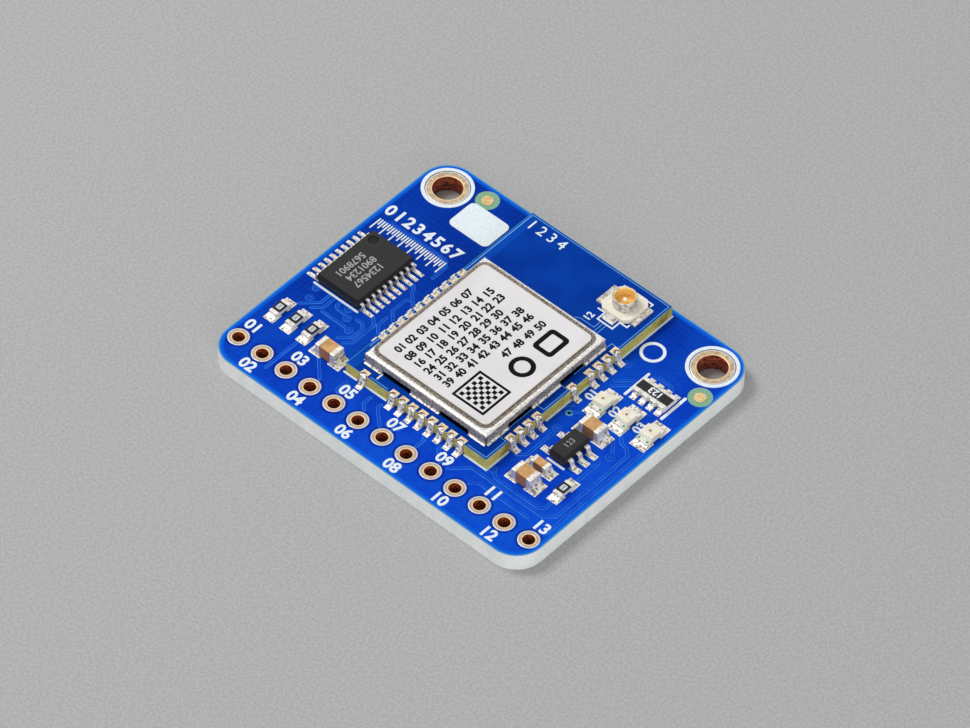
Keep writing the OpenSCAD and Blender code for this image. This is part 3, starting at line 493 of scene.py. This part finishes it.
def socket_moulding():
    """Cream plastic with a painted reflection of the gold ring inside it."""
    f = Finish("socket_moulding", Specular_IOR_Level=0.3)
    away = from_axis(f, coax_axis)
    grain = f.noise(5, 3, 0.6, offset=2)
    cream = f.mix(f.step(grain, 0.3, 0.7), rgb(248, 244, 230), rgb(234, 226, 204))
    # Painted reflection: gold tone on the plastic inside the ring
    painted_gold_reflection = f.mix(f.step(grain, 0.3, 0.7), rgb(250, 212, 136), rgb(238, 186, 96))
    f.colour(f.mix(f.step(away, 0.88, 0.80), cream, painted_gold_reflection))
    f.roughness(grain, 0.35, 0.55)
    f.bump(grain, 0.008)
    return f.material


def socket_gold():
    """Gold-plated contacts: pale outside the ring, deep gold inside it, with a painted highlight
    on the centre pin.
    """
    f = Finish("socket_gold", Metallic=0.35)
    away = from_axis(f, coax_axis)
    wear = f.noise(3.2, 3, 0.6, offset=2)
    inner = f.mix(f.step(wear, 0.3, 0.7), rgb(255, 234, 172), rgb(252, 214, 132))
    # Painted highlight: near-white on the centre pin
    inner = f.mix(f.step(away, 0.3, 0.2), inner, rgb(255, 250, 224))
    outer = f.mix(f.step(wear, 0.3, 0.7), rgb(240, 238, 232), rgb(150, 142, 130))
    f.colour(f.mix(f.step(away, 0.84, 0.93), inner, outer))
    f.roughness(wear, 0.16, 0.34)
    f.bump(wear, 0.008)
    return f.material


def lamp_lens():
    """Milky epoxy that glows a little with the light it takes in, over a small dark die."""
    f = Finish("lamp_lens", Specular_IOR_Level=0.35, Subsurface_Weight=0.6,
               Subsurface_Scale=0.4 * MM)
    away = from_row(f, dies_low.x + LAMP_DIE / 2, LAMP_PITCH, (dies_low.y + dies_high.y) / 2)
    cloud = f.noise(2, 2, 0.5, offset=1)
    epoxy = f.mix(f.step(cloud, 0.3, 0.7), rgb(250, 246, 232), rgb(236, 228, 204))
    epoxy = f.mix(f.step(away, 0.5, 0.2, 0, 0.3), epoxy, rgb(220, 204, 176))
    f.colour(f.mix(f.step(away, 0.15, 0.07), epoxy, rgb(132, 104, 92)))
    f.roughness(cloud, 0.25, 0.4)
    f.bump(f.noise(5, 2, 0.5, offset=6), 0.004)
    return f.material


finishes = {
    "carrier_mask": carrier_mask(),
    "module_mask": module_mask(),
    "gold_plating": gold_plating(),
    "bare_copper_mark": bright_metal("bare_copper_mark", rgb(234, 206, 152),
                                     rgb(198, 160, 98), 0.3, metal=0.3),
    "tinned_copper": bright_metal("tinned_copper", rgb(240, 239, 233), rgb(208, 203, 192),
                                  0.28, specks=0.7, depth=0.02, metal=0.5),
    "solder": bright_metal("solder", rgb(250, 249, 244), rgb(222, 216, 202), 0.2,
                           specks=0.8, wavy=2.4, depth=0.08, metal=0.3, clean=0.51),
    "can_sheet": can_sheet(),
    "label_film": label_film(),
    "chip_moulding": chip_moulding(),
    "lead_metal": bright_metal("lead_metal", rgb(244, 241, 233), rgb(210, 202, 186), 0.24,
                               specks=0.45, metal=0.45),
    "crystal_metal": bright_metal("crystal_metal", rgb(224, 216, 200), rgb(190, 182, 164),
                                  0.3),
    "ferrite": plain_grain("ferrite", rgb(70, 70, 74), rgb(44, 44, 48), 0.7),
    "capacitor_ceramic": fired_ceramic(),
    "socket_moulding": socket_moulding(),
    "socket_gold": socket_gold(),
    "resistor_ceramic": plain_grain("resistor_ceramic", rgb(240, 240, 236),
                                    rgb(222, 222, 216), 0.4),
    "resistor_glaze": plain_grain("resistor_glaze", rgb(22, 21, 22), rgb(40, 38, 37), 0.4,
                                  per_mm=9, depth=0.006, Specular_IOR_Level=0.2),
    "lamp_base": plain_grain("lamp_base", rgb(240, 234, 210), rgb(224, 216, 186), 0.5),
    "lamp_lens": lamp_lens(),
    "lamp_die": plain_grain("lamp_die", rgb(70, 62, 46), rgb(48, 42, 32), 0.4, per_mm=20),
}

# Inks and copper of the thin pieces that this scene adds
white_ink = plain_grain("white_ink", rgb(242, 250, 252), rgb(220, 234, 244), 0.55,
                        per_mm=7, depth=0.006, Specular_IOR_Level=0.15)
pale_line = plain_grain("pale_line", rgb(110, 178, 236), rgb(70, 146, 220), 0.35)
dark_ink = plain_grain("dark_ink", rgb(8, 6, 8), rgb(24, 20, 22), 0.6, per_mm=9,
                       depth=0.004, Specular_IOR_Level=0.05)
laser_mark = plain_grain("laser_mark", rgb(176, 174, 171), rgb(128, 127, 125), 0.6,
                         per_mm=12)
green_ink = plain_grain("green_ink", rgb(58, 130, 104), rgb(96, 156, 128), 0.5)
mask_over_copper = covered_copper()

# Nodes whose look differs from the rest of their slot
own_finishes = {
    "via_plating": covered_via(),
    "header_hole_plating": ring_plating("header_plating", from_header, HEADER_BORE, HEADER_RING,
                                        rgb(192, 180, 164), rgb(160, 148, 134)),
    "mounting_hole_plating": ring_plating("mount_plating", from_mount, MOUNT_BORE, MOUNT_RING,
                                          rgb(214, 194, 162), rgb(168, 144, 112)),
}

for row in frame["record"]["subparts"]:
    node = nodes[row["node"]]
    node.data.materials.clear()
    node.data.materials.append(own_finishes.get(row["node"], finishes[row["material_slot"]]))

# Nodes whose sharp edges are rounded, with the radius
ROUNDED = {
    "header_hole_plating": 0.035, "mounting_hole_plating": 0.05,
    "module_edge_solder": 0.06, "chip_solder": 0.05, "lead_solder": 0.02,
    "carrier_lands": 0.02, "capacitor_ends": 0.03, "resistor_ends": 0.04,
    "array_terminals": 0.05, "lamp_lenses": 0.06, "lamp_terminals": 0.03,
    "coax_insulator": 0.04, "regulator": 0.05, "level_shifter": 0.05,
    "level_shifter_leads": 0.02, "regulator_leads": 0.03,
}


def soften(name, radius, segments=2):
    """Rounds a node's sharp edges by a radius in millimetres."""
    weld = nodes[name].modifiers.new("weld", "WELD")
    weld.merge_threshold = 0.001 * MM
    edge = nodes[name].modifiers.new("edge", "BEVEL")
    edge.width = radius * MM
    edge.segments = segments
    edge.limit_method = "ANGLE"
    edge.angle_limit = math.radians(35)
    edge.use_clamp_overlap = True


for name, radius in ROUNDED.items():
    soften(name, radius)


# ---------------------------------------------------------------- outlines

def turned(points, angle, centre):
    """Points turned by an angle in degrees and moved to a centre."""
    c, s = math.cos(math.radians(angle)), math.sin(math.radians(angle))
    return [(centre[0] + c * x - s * y, centre[1] + s * x + c * y) for x, y in points]


def rectangle(x0, y0, x1, y1):
    """Corners of a rectangle, anticlockwise like every outline here."""
    return [(x0, y0), (x1, y0), (x1, y1), (x0, y1)]


def round_rectangle(x0, y0, x1, y1, radius, steps=5):
    points = []
    corners = ((x1 - radius, y0 + radius, -90), (x1 - radius, y1 - radius, 0),
               (x0 + radius, y1 - radius, 90), (x0 + radius, y0 + radius, 180))
    for cx, cy, start in corners:
        for i in range(steps + 1):
            a = math.radians(start + 90 * i / steps)
            points.append((cx + radius * math.cos(a), cy + radius * math.sin(a)))
    return points


def circle(x, y, radius, steps=32):
    return [(x + radius * math.cos(2 * math.pi * i / steps),
             y + radius * math.sin(2 * math.pi * i / steps)) for i in range(steps)]


def stroke(path, width, cap_steps=4):
    """Outline of a line of that width with mitred bends and round ends."""
    half = width / 2
    points = [Vector(p) for p in path]
    along = [(b - a).normalized() for a, b in zip(points, points[1:])]
    left, right = [], []
    for i, point in enumerate(points):
        before = along[max(i - 1, 0)]
        after = along[min(i, len(along) - 1)]
        side = Vector((-(before.y + after.y), before.x + after.x)).normalized()
        reach = half / max(0.5, side.dot(Vector((-after.y, after.x))))
        left.append(point + side * reach)
        right.append(point - side * reach)

    def cap(centre, direction):
        start = math.atan2(direction.y, direction.x) - math.pi / 2
        turns = [start + math.pi * i / cap_steps for i in range(1, cap_steps)]
        return [centre + half * Vector((math.cos(a), math.sin(a))) for a in turns]

    outline = right + cap(points[-1], along[-1]) + left[::-1] + cap(points[0], -along[0])
    return [tuple(p) for p in outline]


def behind(y):
    """Row-frame Y of a place that far behind the header row."""
    return HEADER_Y + y


def route(*places):
    """A path whose places are [x, distance behind the header row]."""
    return [(x, behind(y)) for x, y in places]


# ---------------------------------------------------------------- thin raised pieces

class Raised:
    """Gathers thin raised shapes into one mesh piece. A shape's lift is added to the
    thickness, so that its top never coincides with that of a shape it crosses."""

    def __init__(self, name, base, thickness, material, slot):
        self.name, self.base, self.thickness = name, base, thickness
        self.material, self.slot = material, slot
        self.points, self.faces = [], []

    def solid(self, outline, top=None, lift=0.0):
        """Closed solid on an outline, whose top may be another with as many points."""
        count, start = len(outline), len(self.points)
        self.points += [(x, y, self.base - SUNK) for x, y in outline]
        self.points += [(x, y, self.base + (self.thickness + lift)) for x, y in top or outline]
        self.faces.append(list(range(start + count, start + 2 * count)))
        self.faces.append(list(range(start + count - 1, start - 1, -1)))
        for i in range(count):
            j = (i + 1) % count
            self.faces.append([start + i, start + j, start + count + j, start + count + i])

    def line(self, path, width, slope=0.0, lift=0.0):
        top = stroke(path, width - 2 * slope) if slope else None
        self.solid(stroke(path, width), top, lift)

    def band(self, foot, top, lift=0.0):
        """Closed band whose foot and top are each an inner and an outer outline."""
        start, count = len(self.points), len(foot[0])
        low, high = self.base - SUNK, self.base + (self.thickness + lift)
        loops = ((foot[0], low), (foot[1], low), (top[1], high), (top[0], high))
        for outline, z in loops:
            self.points += [(x, y, z) for x, y in outline]
        for k in range(len(loops)):
            a, b = start + k * count, start + (k + 1) % len(loops) * count
            for i in range(count):
                j = (i + 1) % count
                self.faces.append([a + j, b + j, b + i, a + i])

    def ring(self, x, y, inner, outer, steps=48, slope=0.0, lift=0.0):
        """Flat ring whose sides may slope."""
        foot = [circle(x, y, radius, steps) for radius in (inner, outer)]
        top = [circle(x, y, radius, steps) for radius in (inner + slope, outer - slope)]
        self.band(foot, top, lift)

    def frame(self, outer, inner):
        """Flat frame between two outlines with as many points."""
        self.band((inner, outer), (inner, outer))

    def text(self, words, height, centre, angle=0, bold=0.0):
        """Digits whose cap height is given, centred on a point."""
        curve = bpy.data.curves.new("digits", "FONT")
        curve.body = words
        curve.size = 1
        curve.offset = bold
        curve.resolution_u = 3
        holder = bpy.data.objects.new("digits", curve)
        bpy.context.scene.collection.objects.link(holder)
        graph = bpy.context.evaluated_depsgraph_get()
        mesh = holder.evaluated_get(graph).to_mesh()
        flat = [(v.co.x, v.co.y) for v in mesh.vertices]
        low = [min(p[k] for p in flat) for k in (0, 1)]
        high = [max(p[k] for p in flat) for k in (0, 1)]
        scale = height / (high[1] - low[1])
        local = [((x - (low[0] + high[0]) / 2) * scale, (y - (low[1] + high[1]) / 2) * scale)
                 for x, y in flat]
        placed = turned(local, angle, centre)
        start, count = len(self.points), len(placed)
        self.points += [(x, y, self.base + self.thickness) for x, y in placed]
        self.points += [(x, y, self.base - SUNK) for x, y in placed]
        edges = {}
        for polygon in mesh.polygons:
            loop = [start + v for v in polygon.vertices]
            self.faces.append(loop)
            self.faces.append([v + count for v in reversed(loop)])
            edges.update(((a, b), None) for a, b in zip(loop, loop[1:] + loop[:1]))

        # An edge that only one face uses lies on the outline and gets a side
        for a, b in edges:
            if (b, a) not in edges:
                self.faces.append([b, a, a + count, b + count])
        bpy.data.objects.remove(holder)
        bpy.data.curves.remove(curve)

    def make(self):
        mesh = bpy.data.meshes.new(self.name)
        mesh.from_pydata([(x * MM, y * MM, z * MM) for x, y, z in self.points], [], self.faces)
        mesh.validate()
        mesh.update()
        piece = bpy.data.objects.new(self.name, mesh)
        piece.data.materials.append(self.material)
        bpy.context.scene.collection.objects.link(piece)
        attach(piece, "root")


# ---------------------------------------------------------------- traces

TRACE_W = 0.32
TRACE_SLOPE = 0.07
TRACE_LIFT = 0.0004
VIA_HOLE_R = 0.08
VIA_R = 0.38
VIA_LIFT = 0.002

# Routes follow the photo, and end clear of the header's ring pads
TRACE_PATHS = [
    route((-13.0, 8.3), (-13.0, 7.0), (-14.2, 5.8)),
    route((-12.5, 8.3), (-12.5, 6.8), (-13.2, 6.1)),
    route((-11.9, 8.3), (-11.9, 7.7), (-11.6, 7.4), (-10.6, 7.4)),
    route((-12.3, 6.4), (-9.7, 6.4)),
    route((-9.7, 7.6), (-9.1, 7.6), (-8.7, 7.2), (-8.7, 6.0), (-9.5, 5.2)),
    route((-9.0, 8.7), (-8.3, 8.1), (-8.3, 5.6), (-8.8, 5.1)),
    route((-8.1, 9.4), (-8.1, 8.3), (-7.5, 7.7)),
    route((-8.0, 12.0), (-8.3, 11.7), (-8.3, 10.2), (-7.5, 9.4)),
    route((-8.9, 13.3), (-8.5, 12.9), (-8.5, 12.7), (-7.5, 11.7)),
    route((-11.5, 2.9), (-11.5, -0.9)),
    route((-9.2, 2.7), (-7.6, 1.1)),
    route((-5.9, 2.3), (-5.9, 1.3), (-5.6, 1.0)),
    route((-3.4, 2.4), (-3.4, 1.6), (-2.9, 1.1)),
    route((-2.3, 2.4), (-2.3, 2.0), (-0.9, 0.7)),
    route((0.4, 2.4), (0.4, 1.4), (0.1, 1.1)),
    route((2.2, 2.4), (2.6, 2.0), (2.6, 1.08)),
    route((4.0, 2.4), (4.0, 2.1), (5.0, 1.1)),
    route((14.05, 9.4), (14.05, 6.9)),
    route((14.05, 4.0), (14.05, 3.2), (13.7, 2.85), (9.2, 2.85), (8.7, 3.3)),
    route((15.25, 9.9), (15.25, 3.1), (14.5, 2.4), (7.2, 2.4), (5.9, 1.1)),
    route((15.85, 12.6), (15.85, 1.5), (15.5, 1.15)),
    route((13.7, 1.6), (8.6, 1.6), (8.1, 1.1)),
    route((9.4, 9.3), (9.4, 6.3), (8.8, 5.7)),
    route((9.35, 16.6), (10.65, 17.9)),
    route((9.55, 16.1), (10.75, 17.3)),
    route((11.4, 18.8), (11.7, 19.15), (12.9, 19.15), (13.3, 18.8)),
    route((13.5, 12.6), (14.0, 12.1), (14.6, 12.0), (15.2, 11.4), (15.2, 10.0)),
    route((13.3, 11.9), (14.3, 10.7)),
    route((9.1, 11.9), (9.9, 12.6)),
    route((8.2, 12.1), (8.6, 12.5)),
    route((-15.2, 16.5), (-14.65, 17.05), (-8.9, 17.05), (-8.3, 16.45), (-8.3, 14.9)),
]
COVERED_VIAS = route((-14.3, 7.9), (-14.0, 6.8), (-10.9, 8.0), (-10.35, 7.2), (-9.4, 6.35),
                     (14.3, 10.4), (8.45, 3.4), (8.9, 18.6), (9.3, 9.9))


def carrier_traces():
    """Copper traces under the solder mask, and the vias that it covers."""
    traces = Raised("carrier_traces", BOARD_TOP, COPPER_T, mask_over_copper, "carrier_mask")
    for i, path in enumerate(TRACE_PATHS):
        traces.line(path, TRACE_W, TRACE_SLOPE, TRACE_LIFT * i)
    lift = TRACE_LIFT * (len(TRACE_PATHS) - 1) + VIA_LIFT
    for x, y in COVERED_VIAS:
        traces.ring(x, y, VIA_HOLE_R, VIA_R, 24, TRACE_SLOPE, lift)
    traces.make()


# ---------------------------------------------------------------- printing on the boards

BOLD = 0.03
FINE_BOLD = 0.02
LINE_W = 0.2


def mount_rings(ink):
    """A white ring round each mounting hole's pad."""
    gap, width = 0.06, 0.30
    inner = MOUNT_RING + gap
    for side in (-1, 1):
        ink.ring(side * MOUNT_X, MOUNT_Y, inner, inner + width, steps=64)


def pin_numbers(ink):
    """01 to 13, by turns behind the header holes and in front of them."""
    height, rear, front = 1.1, 1.6, -1.62
    for i in range(PINS):
        place = ((i - (PINS - 1) / 2) * PITCH, behind(rear if i % 2 == 0 else front))
        ink.text("%02d" % (i + 1), height, place, bold=BOLD)


def part_lines(ink):
    """Lines beside the level shifter, the resistor array and the regulator."""
    ink.line(route((-14.8, 8.2), (-10.2, 8.2)), LINE_W)
    ink.line(route((-14.8, 14.95), (-10.2, 14.95)), LINE_W)
    ink.line(route((10.83, 16.1), (10.83, 18.9)), 0.24)
    ink.line(route((14.6, 16.1), (14.6, 18.9)), 0.26)
    ink.line(route((10.84, 7.08), (12.48, 7.08)), LINE_W)


def module_outline(ink):
    """Outline of the module, broken at its lands."""
    out, width = 0.09, 0.16
    right_x, left_x = module_high.x + out, module_low.x - out
    front_y = module_low.y - out
    for y0, y1 in ((module_low.y, behind(5.5)), (behind(9.9), behind(12.9)),
                   (behind(13.6), behind(14.9)), (behind(18.7), behind(24.7))):
        ink.line([(right_x, y0), (right_x, y1)], width)
    for x0, x1 in ((left_x, -5.4), (-4.5, -2.3), (5.9, right_x)):
        ink.line([(x0, front_y), (x1, front_y)], width)


def millimetre_scale(ink):
    """A plain scale with a digit at each millimetre and ticks at each quarter."""
    zero_x, tick_y, digit_y = -15.6, behind(16.75), behind(18.0)
    whole, half, quarter, tick_w = 1.25, 0.85, 0.55, 0.12
    length, parts = 7, 4
    for i in range(length * parts + 1):
        tick = whole if i % parts == 0 else (half if i % 2 == 0 else quarter)
        x = zero_x + i / parts
        ink.line([(x, tick_y), (x, tick_y - tick)], tick_w)
    for i in range(length + 1):
        ink.text(str(i), height=1.2, centre=(zero_x + i, digit_y), bold=BOLD)


def carrier_printing():
    """White printing on the carrier."""
    ink = Raised("carrier_printing", BOARD_TOP, INK_T, white_ink, "label_film")
    mount_rings(ink)
    pin_numbers(ink)
    part_lines(ink)
    module_outline(ink)
    millimetre_scale(ink)

    # Write-on patch, plain ring and lamp numbers
    ink.solid(round_rectangle(-11.5, behind(20.05), -7.4, behind(23.15), radius=0.5))
    ink.ring(9.555, behind(20.83), inner=0.80, outer=1.06)
    for i, x in enumerate((8.98, 11.5, 13.95)):
        ink.text("0" + str(i + 1), height=0.85, centre=(x, behind(14.2)), angle=90, bold=BOLD)
    ink.make()


def module_printing():
    """White printing on the module: lines round the socket's lands, and plain digits."""
    ink = Raised("module_printing", MODULE_TOP, INK_T, white_ink, "label_film")
    for path in (route((3.9, 23.6), (3.9, 23.83), (6.85, 23.83), (6.85, 23.55)),
                 route((3.95, 20.67), (4.65, 20.67), (4.65, 19.78), (6.2, 19.78),
                       (6.2, 20.67), (6.95, 20.67), (6.95, 20.95))):
        ink.line(path, width=0.13)
    first_x, step = -5.75, 1.05
    for i in range(4):
        ink.text(str(i + 1), height=1.0, centre=(first_x + step * i, behind(23.75)))
    ink.text("12", height=0.66, centre=(3.95, behind(19.6)), angle=90, bold=FINE_BOLD)
    ink.text("1", height=0.66, centre=(-3.7, behind(3.75)), bold=FINE_BOLD)
    ink.make()


def module_copper_edges():
    """Pale edges of the copper that show through the module's mask."""
    copper = Raised("module_copper_edges", MODULE_TOP, COPPER_EDGE_T, pale_line, "module_mask")
    inset, jog, width, wide = 0.2, 0.72, 0.06, 0.09
    x0, x1 = module_low.x + inset, module_high.x - inset
    y0, y1 = module_low.y + inset, module_high.y - inset
    copper.line([(x0, y1), (x1, y1), (x1, behind(18.6)), (x1 - jog, behind(18.6)),
                 (x1 - jog, behind(14.2))], width)
    copper.line([(x1 - jog, behind(12.7)), (x1, behind(12.7)), (x1, behind(9.9)),
                 (x1 - jog, behind(9.9)), (x1 - jog, behind(5.5)), (x1, behind(5.5)),
                 (x1, y0), (6.0, y0)], width)
    copper.line([(-2.4, y0), (-4.2, y0)], width)
    copper.line([(x0, y1), (x0, behind(5.6))], wide)
    copper.line(route((5.02, 19.7), (5.02, 18.95), (3.6, 18.95), (3.2, 18.7)), width)
    for x in (5.30, 5.62):
        copper.line(route((x, 19.7), (x, 18.5)), width)
    copper.make()


# ---------------------------------------------------------------- printing on the parts

LABEL_ANGLE = 90
NUMBER_H = 0.75
NUMBER_STEP = 1.3

# Rows of numbers on the label: x, where the row starts behind the header row, and how many
NUMBER_ROWS = [(-3.92, 5.6, 7), (-2.78, 5.6, 8), (-1.76, 5.6, 8), (-0.74, 5.6, 7),
               (0.28, 5.6, 8), (1.26, 5.6, 8), (2.5, 10.9, 4)]


def label_numbers(ink):
    """Rows of numbers, which run on from one row to the next."""
    number = 1
    for x, start, count in NUMBER_ROWS:
        for k in range(count):
            place = (x, behind(start + (k + 0.5) * NUMBER_STEP))
            ink.text("%02d" % number, NUMBER_H, place, LABEL_ANGLE, bold=0.04)
            number += 1


def chequer(ink):
    """Framed chequer pattern."""
    left, front, side, frame_w = 2.2, 5.5, 3.3, 0.22
    cells, half = 7, 0.176
    ink.frame(rectangle(left, behind(front), left + side, behind(front + side)),
              rectangle(left + frame_w, behind(front + frame_w),
                        left + side - frame_w, behind(front + side - frame_w)))
    step = (side - 2 * frame_w) / (cells + 1)
    for i in range(cells):
        for j in range(i % 2, cells, 2):
            x = left + frame_w + step * (i + 1)
            y = behind(front + frame_w + step * (j + 1))
            ink.solid(rectangle(x - half, y - half, x + half, y + half))


def label_printing():
    """Dark printing on the label: numbers, a chequer, a ring and a rounded square."""
    ink = Raised("label_printing", LABEL_TOP, LABEL_INK_T, dark_ink, "chip_moulding")
    label_numbers(ink)
    chequer(ink)
    ink.ring(4.35, behind(11.3), inner=0.66, outer=1.08)
    ink.frame(round_rectangle(3.35, behind(13.4), 5.35, behind(15.9), radius=0.4),
              round_rectangle(3.77, behind(13.82), 4.93, behind(15.48), radius=0.15))
    ink.make()


def chip_marks():
    """Rows of plain digits on the level shifter."""
    centre = middle("level_shifter")
    marks = Raised("chip_marks", SHIFTER_TOP, MARK_T, laser_mark, "chip_moulding")
    for x, y, digits in ((0.9, -0.7, "1234567"), (0, -0.5, "8901234"), (-0.9, -0.7, "5678901")):
        place = (centre.x + x, centre.y + y)
        marks.text(digits, height=0.68, centre=place, angle=-90, bold=FINE_BOLD)
    marks.make()


def marks_on(node, name, material, slot, height, angle, bold=0.0):
    """Three plain digits in the middle of a node's top."""
    centre, top = middle(node), node_box(node)[1].z
    marks = Raised(name, top, MARK_T, material, slot)
    marks.text("123", height, (centre.x, centre.y), angle, bold)
    marks.make()


def resistor_marks():
    """A white patch with plain dark bars on each small resistor."""
    top = node_box("resistor_glaze")[1].z
    patches = Raised("resistor_marks", top, MARK_T, white_ink, "label_film")
    bars = Raised("resistor_bars", top + MARK_T, BAR_T, dark_ink, "chip_moulding")
    half_x, half_y, corner = 0.22, 0.27, 0.06
    bar_x, bar_y, bar_step = 0.14, 0.035, 0.15
    row_x, row_step = -14.76, 1.73
    row = [(row_x + row_step * i, behind(4.2)) for i in range(3)]
    for x, y in row + [(13.97, behind(5.4))]:
        patches.solid(round_rectangle(x - half_x, y - half_y, x + half_x, y + half_y, corner, 2))
        for k in (-1, 0, 1):
            bar = y + bar_step * k
            bars.solid(rectangle(x - bar_x, bar - bar_y, x + bar_x, bar + bar_y))
    patches.make()
    bars.make()


def lamp_marks():
    """Two green polarity marks at the front of each lamp."""
    lens = middle("lamp_lenses")
    base_top = node_box("lamp_terminals")[1].z
    marks = Raised("lamp_marks", base_top, GREEN_INK_T, green_ink, "lamp_base")
    apart, half_x, front, rear, corner = 0.43, 0.12, 0.92, 0.72, 0.05
    for i in (-1, 0, 1):
        for side in (-1, 1):
            x = lens.x + LAMP_PITCH * i + side * apart
            marks.solid(round_rectangle(x - half_x, lens.y - front, x + half_x, lens.y - rear,
                                        corner, 2))
    marks.make()


carrier_traces()
carrier_printing()
module_printing()
module_copper_edges()
label_printing()
chip_marks()
marks_on("regulator", "regulator_marks", laser_mark, "chip_moulding", height=0.5, angle=90)
marks_on("array_glaze", "array_marks", white_ink, "label_film", height=0.66, angle=180,
         bold=BOLD)
resistor_marks()
lamp_marks()


# ---------------------------------------------------------------- light, floor, camera

FLOOR_REACH = 3
SENSOR_WIDTH = 36
CLIP_NEAR, CLIP_FAR = 0.01, 20


def plain_floor():
    """Pale grey floor with a fine, faint grain."""
    f = Finish("plain_floor", Roughness=0.9, Specular_IOR_Level=0.1)
    f.colour(f.mix(f.step(f.noise(4.5, 2, 0.6), 0.35, 0.65), rgb(170, 170, 171),
                   rgb(184, 184, 184)))
    mesh = bpy.data.meshes.new("floor")
    corners = rectangle(-FLOOR_REACH, -FLOOR_REACH, FLOOR_REACH, FLOOR_REACH)
    mesh.from_pydata([(x, y, 0) for x, y in corners], [], [[0, 1, 2, 3]])
    floor = bpy.data.objects.new("floor", mesh)
    floor.data.materials.append(f.material)
    bpy.context.scene.collection.objects.link(floor)


def soft_light(name, place, size, power):
    """Square light that faces the middle of the board, with its place and size in metres."""
    lamp = bpy.data.lights.new(name, "AREA")
    lamp.size = size
    lamp.energy = power
    holder = bpy.data.objects.new(name, lamp)
    holder.location = place
    holder.rotation_euler = (-Vector(place)).to_track_quat("-Z", "Y").to_euler()
    bpy.context.scene.collection.objects.link(holder)


def room_light():
    """Even white light, which the camera and glossy reflections see twice as bright."""
    world = bpy.data.worlds.new("room")
    world.use_nodes = True
    bpy.context.scene.world = world
    tree = world.node_tree
    background = tree.nodes["Background"]
    background.inputs["Color"].default_value = (1, 1, 1, 1)
    paths = tree.nodes.new("ShaderNodeLightPath")
    strength = tree.nodes.new("ShaderNodeMapRange")
    strength.inputs["To Min"].default_value = 0.5
    strength.inputs["To Max"].default_value = 1.0
    seen = tree.nodes.new("ShaderNodeMath")
    seen.operation = "MAXIMUM"
    tree.links.new(paths.outputs["Is Camera Ray"], seen.inputs[0])
    tree.links.new(paths.outputs["Is Glossy Ray"], seen.inputs[1])
    tree.links.new(seen.outputs[0], strength.inputs["Value"])
    tree.links.new(strength.outputs[0], background.inputs["Strength"])


def camera_at(azimuth, elevation, roll, distance, target, lens):
    """Camera turned about a target, with angles in degrees and lengths in millimetres."""
    a, e, r = (math.radians(v) for v in (azimuth, elevation, roll))
    back = Vector((math.sin(a) * math.cos(e), -math.cos(a) * math.cos(e), math.sin(e)))
    right = Vector((math.cos(a), math.sin(a), 0))
    up = back.cross(right)
    side = right * math.cos(r) + up * math.sin(r)
    top = up * math.cos(r) - right * math.sin(r)
    camera = bpy.data.objects.new("camera", bpy.data.cameras.new("camera"))
    camera.data.lens = lens
    camera.data.sensor_width = SENSOR_WIDTH
    camera.data.clip_start, camera.data.clip_end = CLIP_NEAR, CLIP_FAR
    place = (Vector(target) + back * distance) * MM
    turn = Matrix((side, top, back)).transposed().to_4x4()
    camera.matrix_world = Matrix.Translation(place) @ turn
    bpy.context.scene.collection.objects.link(camera)
    bpy.context.scene.camera = camera


plain_floor()
room_light()
soft_light("key", place=(-0.26, -0.04, 0.40), size=0.20, power=1.15)
soft_light("front", place=(0.38, -0.26, 0.13), size=0.30, power=0.78)

# The photo's view, worked out from the header and mounting holes and the board's corners
camera_at(azimuth=41.174, elevation=48.385, roll=1.334, distance=594.218,
          target=(0.764, behind(11.008), BOARD_TOP), lens=283.03)
bpy.context.scene.view_settings.view_transform = "Standard"
